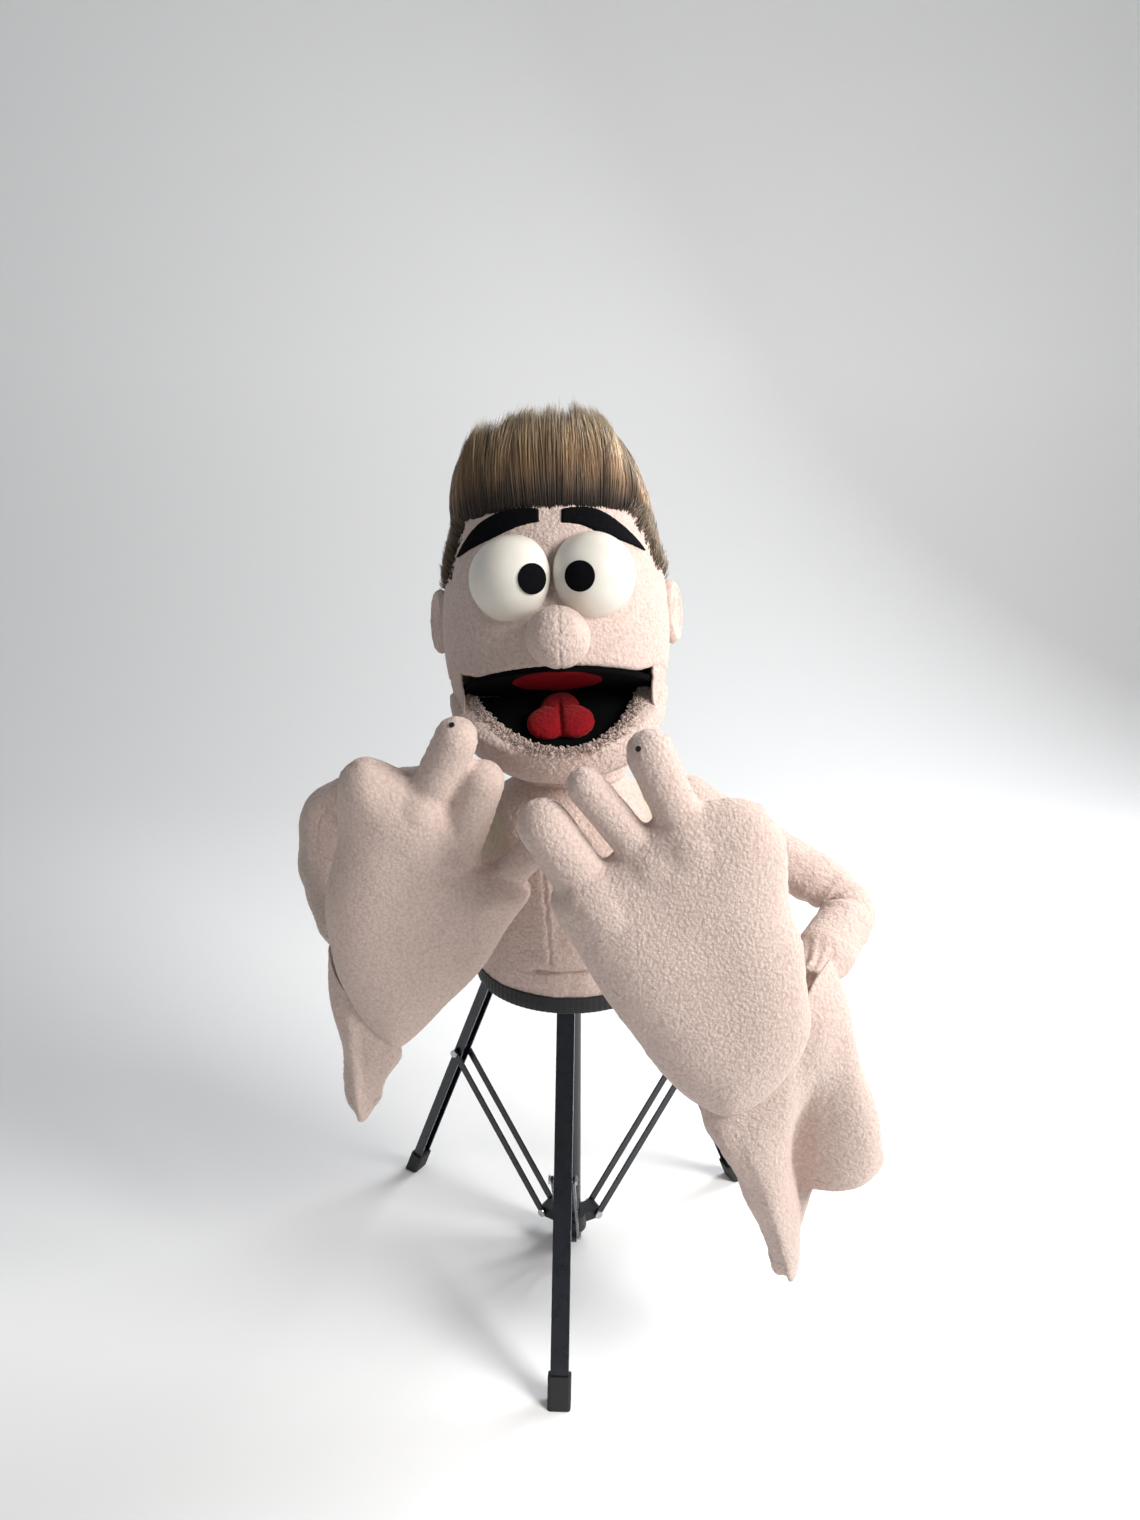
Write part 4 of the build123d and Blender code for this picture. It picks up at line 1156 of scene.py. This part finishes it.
CUFFS = {
    "right": [
        [(104, -196, 322), (114, -207, 316), (134, -210, 314), (158, -209, 330), (176, -202, 362), (192, -186, 402), (210, -160, 408), (196, -160, 386), (150, -184, 334), (116, -190, 320)],
        [(110, -198, 286), (118, -214, 280), (140, -220, 278), (166, -216, 296), (184, -204, 328), (206, -196, 366), (224, -170, 374), (204, -162, 344), (168, -178, 304), (130, -188, 284)],
        [(133, -198, 242), (140, -213, 236), (158, -219, 234), (176, -208, 250), (186, -184, 268), (208, -190, 282), (238, -190, 302), (241, -168, 300), (208, -162, 274), (164, -182, 240)],
        [(152, -197, 200), (158, -211, 194), (170, -215, 192), (182, -203, 208), (188, -179, 230), (210, -190, 244), (252, -190, 260), (254, -167, 260), (216, -160, 240), (176, -182, 200)],
        [(167, -196, 156), (170, -209, 150), (181, -212, 144), (191, -200, 156), (193, -178, 196), (212, -190, 216), (253, -190, 232), (258, -168, 236), (220, -160, 218), (187, -182, 160)],
        [(173, -196, 137), (176, -207, 130), (185, -209, 127), (193, -199, 132), (195, -178, 184), (214, -190, 208), (252, -189, 222), (261, -168, 231), (222, -160, 212), (190, -182, 142)],
    ],
    "left": [
        [(-207, -98, 388), (-202, -112, 372), (-186, -118, 348), (-166, -118, 326), (-152, -114, 314), (-154, -104, 316), (-168, -94, 328), (-186, -86, 350), (-203, -86, 374)],
        [(-208, -99, 338), (-202, -114, 326), (-188, -122, 312), (-170, -122, 298), (-149, -115, 292), (-152, -102, 294), (-168, -92, 302), (-186, -86, 316), (-202, -89, 330)],
        [(-200, -100, 292), (-196, -113, 286), (-188, -119, 278), (-176, -117, 273), (-161, -109, 270), (-163, -97, 272), (-175, -88, 275), (-187, -84, 281), (-196, -90, 288)],
        [(-200, -103, 258), (-195, -114, 250), (-187, -119, 244), (-178, -115, 245), (-168, -107, 256), (-170, -95, 257), (-178, -86, 249), (-187, -83, 247), (-196, -91, 252)],
        [(-199, -104, 245), (-194, -114, 235), (-186, -119, 228), (-178, -114, 231), (-171, -106, 243), (-173, -95, 244), (-179, -86, 235), (-187, -83, 231), (-196, -91, 239)],
    ],
}
# the front tail of the right sleeve is a little shorter than its rings were first drawn
CUFFS["right"] = [[(x, y, z + 10.0 * float(smooth(210 - z, 0, 60))) for x, y, z in r] for r in CUFFS["right"]]
CU = {}
for side, rings in CUFFS.items():
    n = 220
    C = np.array([ring(r, n) for r in rings])                # (levels, n, 3)
    # line the rings up so that columns run straight down
    t = np.linspace(0, 1, len(rings))
    m = 130
    G = np.zeros((m, n, 3))
    for j in range(n):
        G[:, j] = cspline(C[:, j], m)
    P = G.reshape(-1, 3)
    cen = np.repeat(G.mean(1)[:, None], n, 1).reshape(-1, 3)
    out_ = P - cen
    out_ /= np.linalg.norm(out_, axis=1)[:, None]
    v = np.repeat(np.linspace(0, 1, m), n)
    uu = np.tile(np.linspace(0, 2 * math.pi, n, endpoint=False), m)
    d = 2.6 * np.sin(uu * 5 + 1.3 * np.sin(v * 3)) * smooth(v, 0.05, 0.7) + 1.4 * np.sin(uu * 9 + 2) * smooth(v, 0.0, 0.35) * (1 - 0.6 * v)
    d += 1.6 * vnoise(P, 24, 30)
    # turned and stitched hem
    hem = smooth(v, 0.925, 0.94)
    d += 0.9 * hem - 1.1 * np.exp(-((v - 0.93) / 0.006) ** 2)
    sc = 0.6 if side == "left" else 1.0
    P = P + out_ * (sc * d)[:, None]
    o = grid("cuff_cloth_" + side, P.reshape(G.shape), True)
    nap(o, 0.25, 2.5, 31)
    modify(o, ("SOLIDIFY", dict(thickness=0.0016, offset=0)))
    e1 = np.linalg.norm(np.diff(np.vstack([C[0], C[0][:1]]), axis=0), axis=1).sum()
    e2 = np.linalg.norm(np.diff(np.vstack([C[-1], C[-1][:1]]), axis=0), axis=1).sum()
    GG = P.reshape(G.shape)
    du = np.roll(GG, -1, 1) - GG
    dv = GG[1:] - GG[:-1]
    A = np.linalg.norm(np.cross(du[:-1], dv), axis=2).sum() * 1e-6
    H = np.linalg.norm(dv, axis=2).sum(0).max() * MM
    Wd = max(e1, e2) * MM * 1.12
    print("cuff", side, "area", round(A, 5), "width", round(Wd, 4), "length", round(H, 4), "share", round(A / (Wd * H), 3))
    CU[side] = (o, A, Wd, H)
    done(o, SKIN if side == "right" else SKIN_SMOOTH, "hand_" + side, ("cuff_" + side,))

# ------------------------------------------------------------------ floor and backdrop
prof = [(-2.5, 0.0), (1.3, 0.0)]
for a in np.linspace(0, math.pi / 2, 14)[1:]:
    prof.append((1.3 + 0.9 * math.sin(a), 0.9 - 0.9 * math.cos(a)))
prof.append((2.2, 3.2))
V, F = [], []
for i, (y, z) in enumerate(prof):
    V += [(-3.5, y, z - 0.0005), (3.5, y, z - 0.0005)]
    if i:
        k = 2 * i
        F.append((k - 2, k - 1, k + 1, k))
me = bpy.data.meshes.new("floor")
me.from_pydata(V, [], F)
fl = bpy.data.objects.new("floor", me)
scene.collection.objects.link(fl)
for p_ in me.polygons:
    p_.use_smooth = True
m, nt, b = new_mat("floor_pale")
b.inputs["Base Color"].default_value = (0.93, 0.93, 0.93, 1)
b.inputs["Roughness"].default_value = 0.9
b.inputs["Specular IOR Level"].default_value = 0.1
me.materials.append(m)
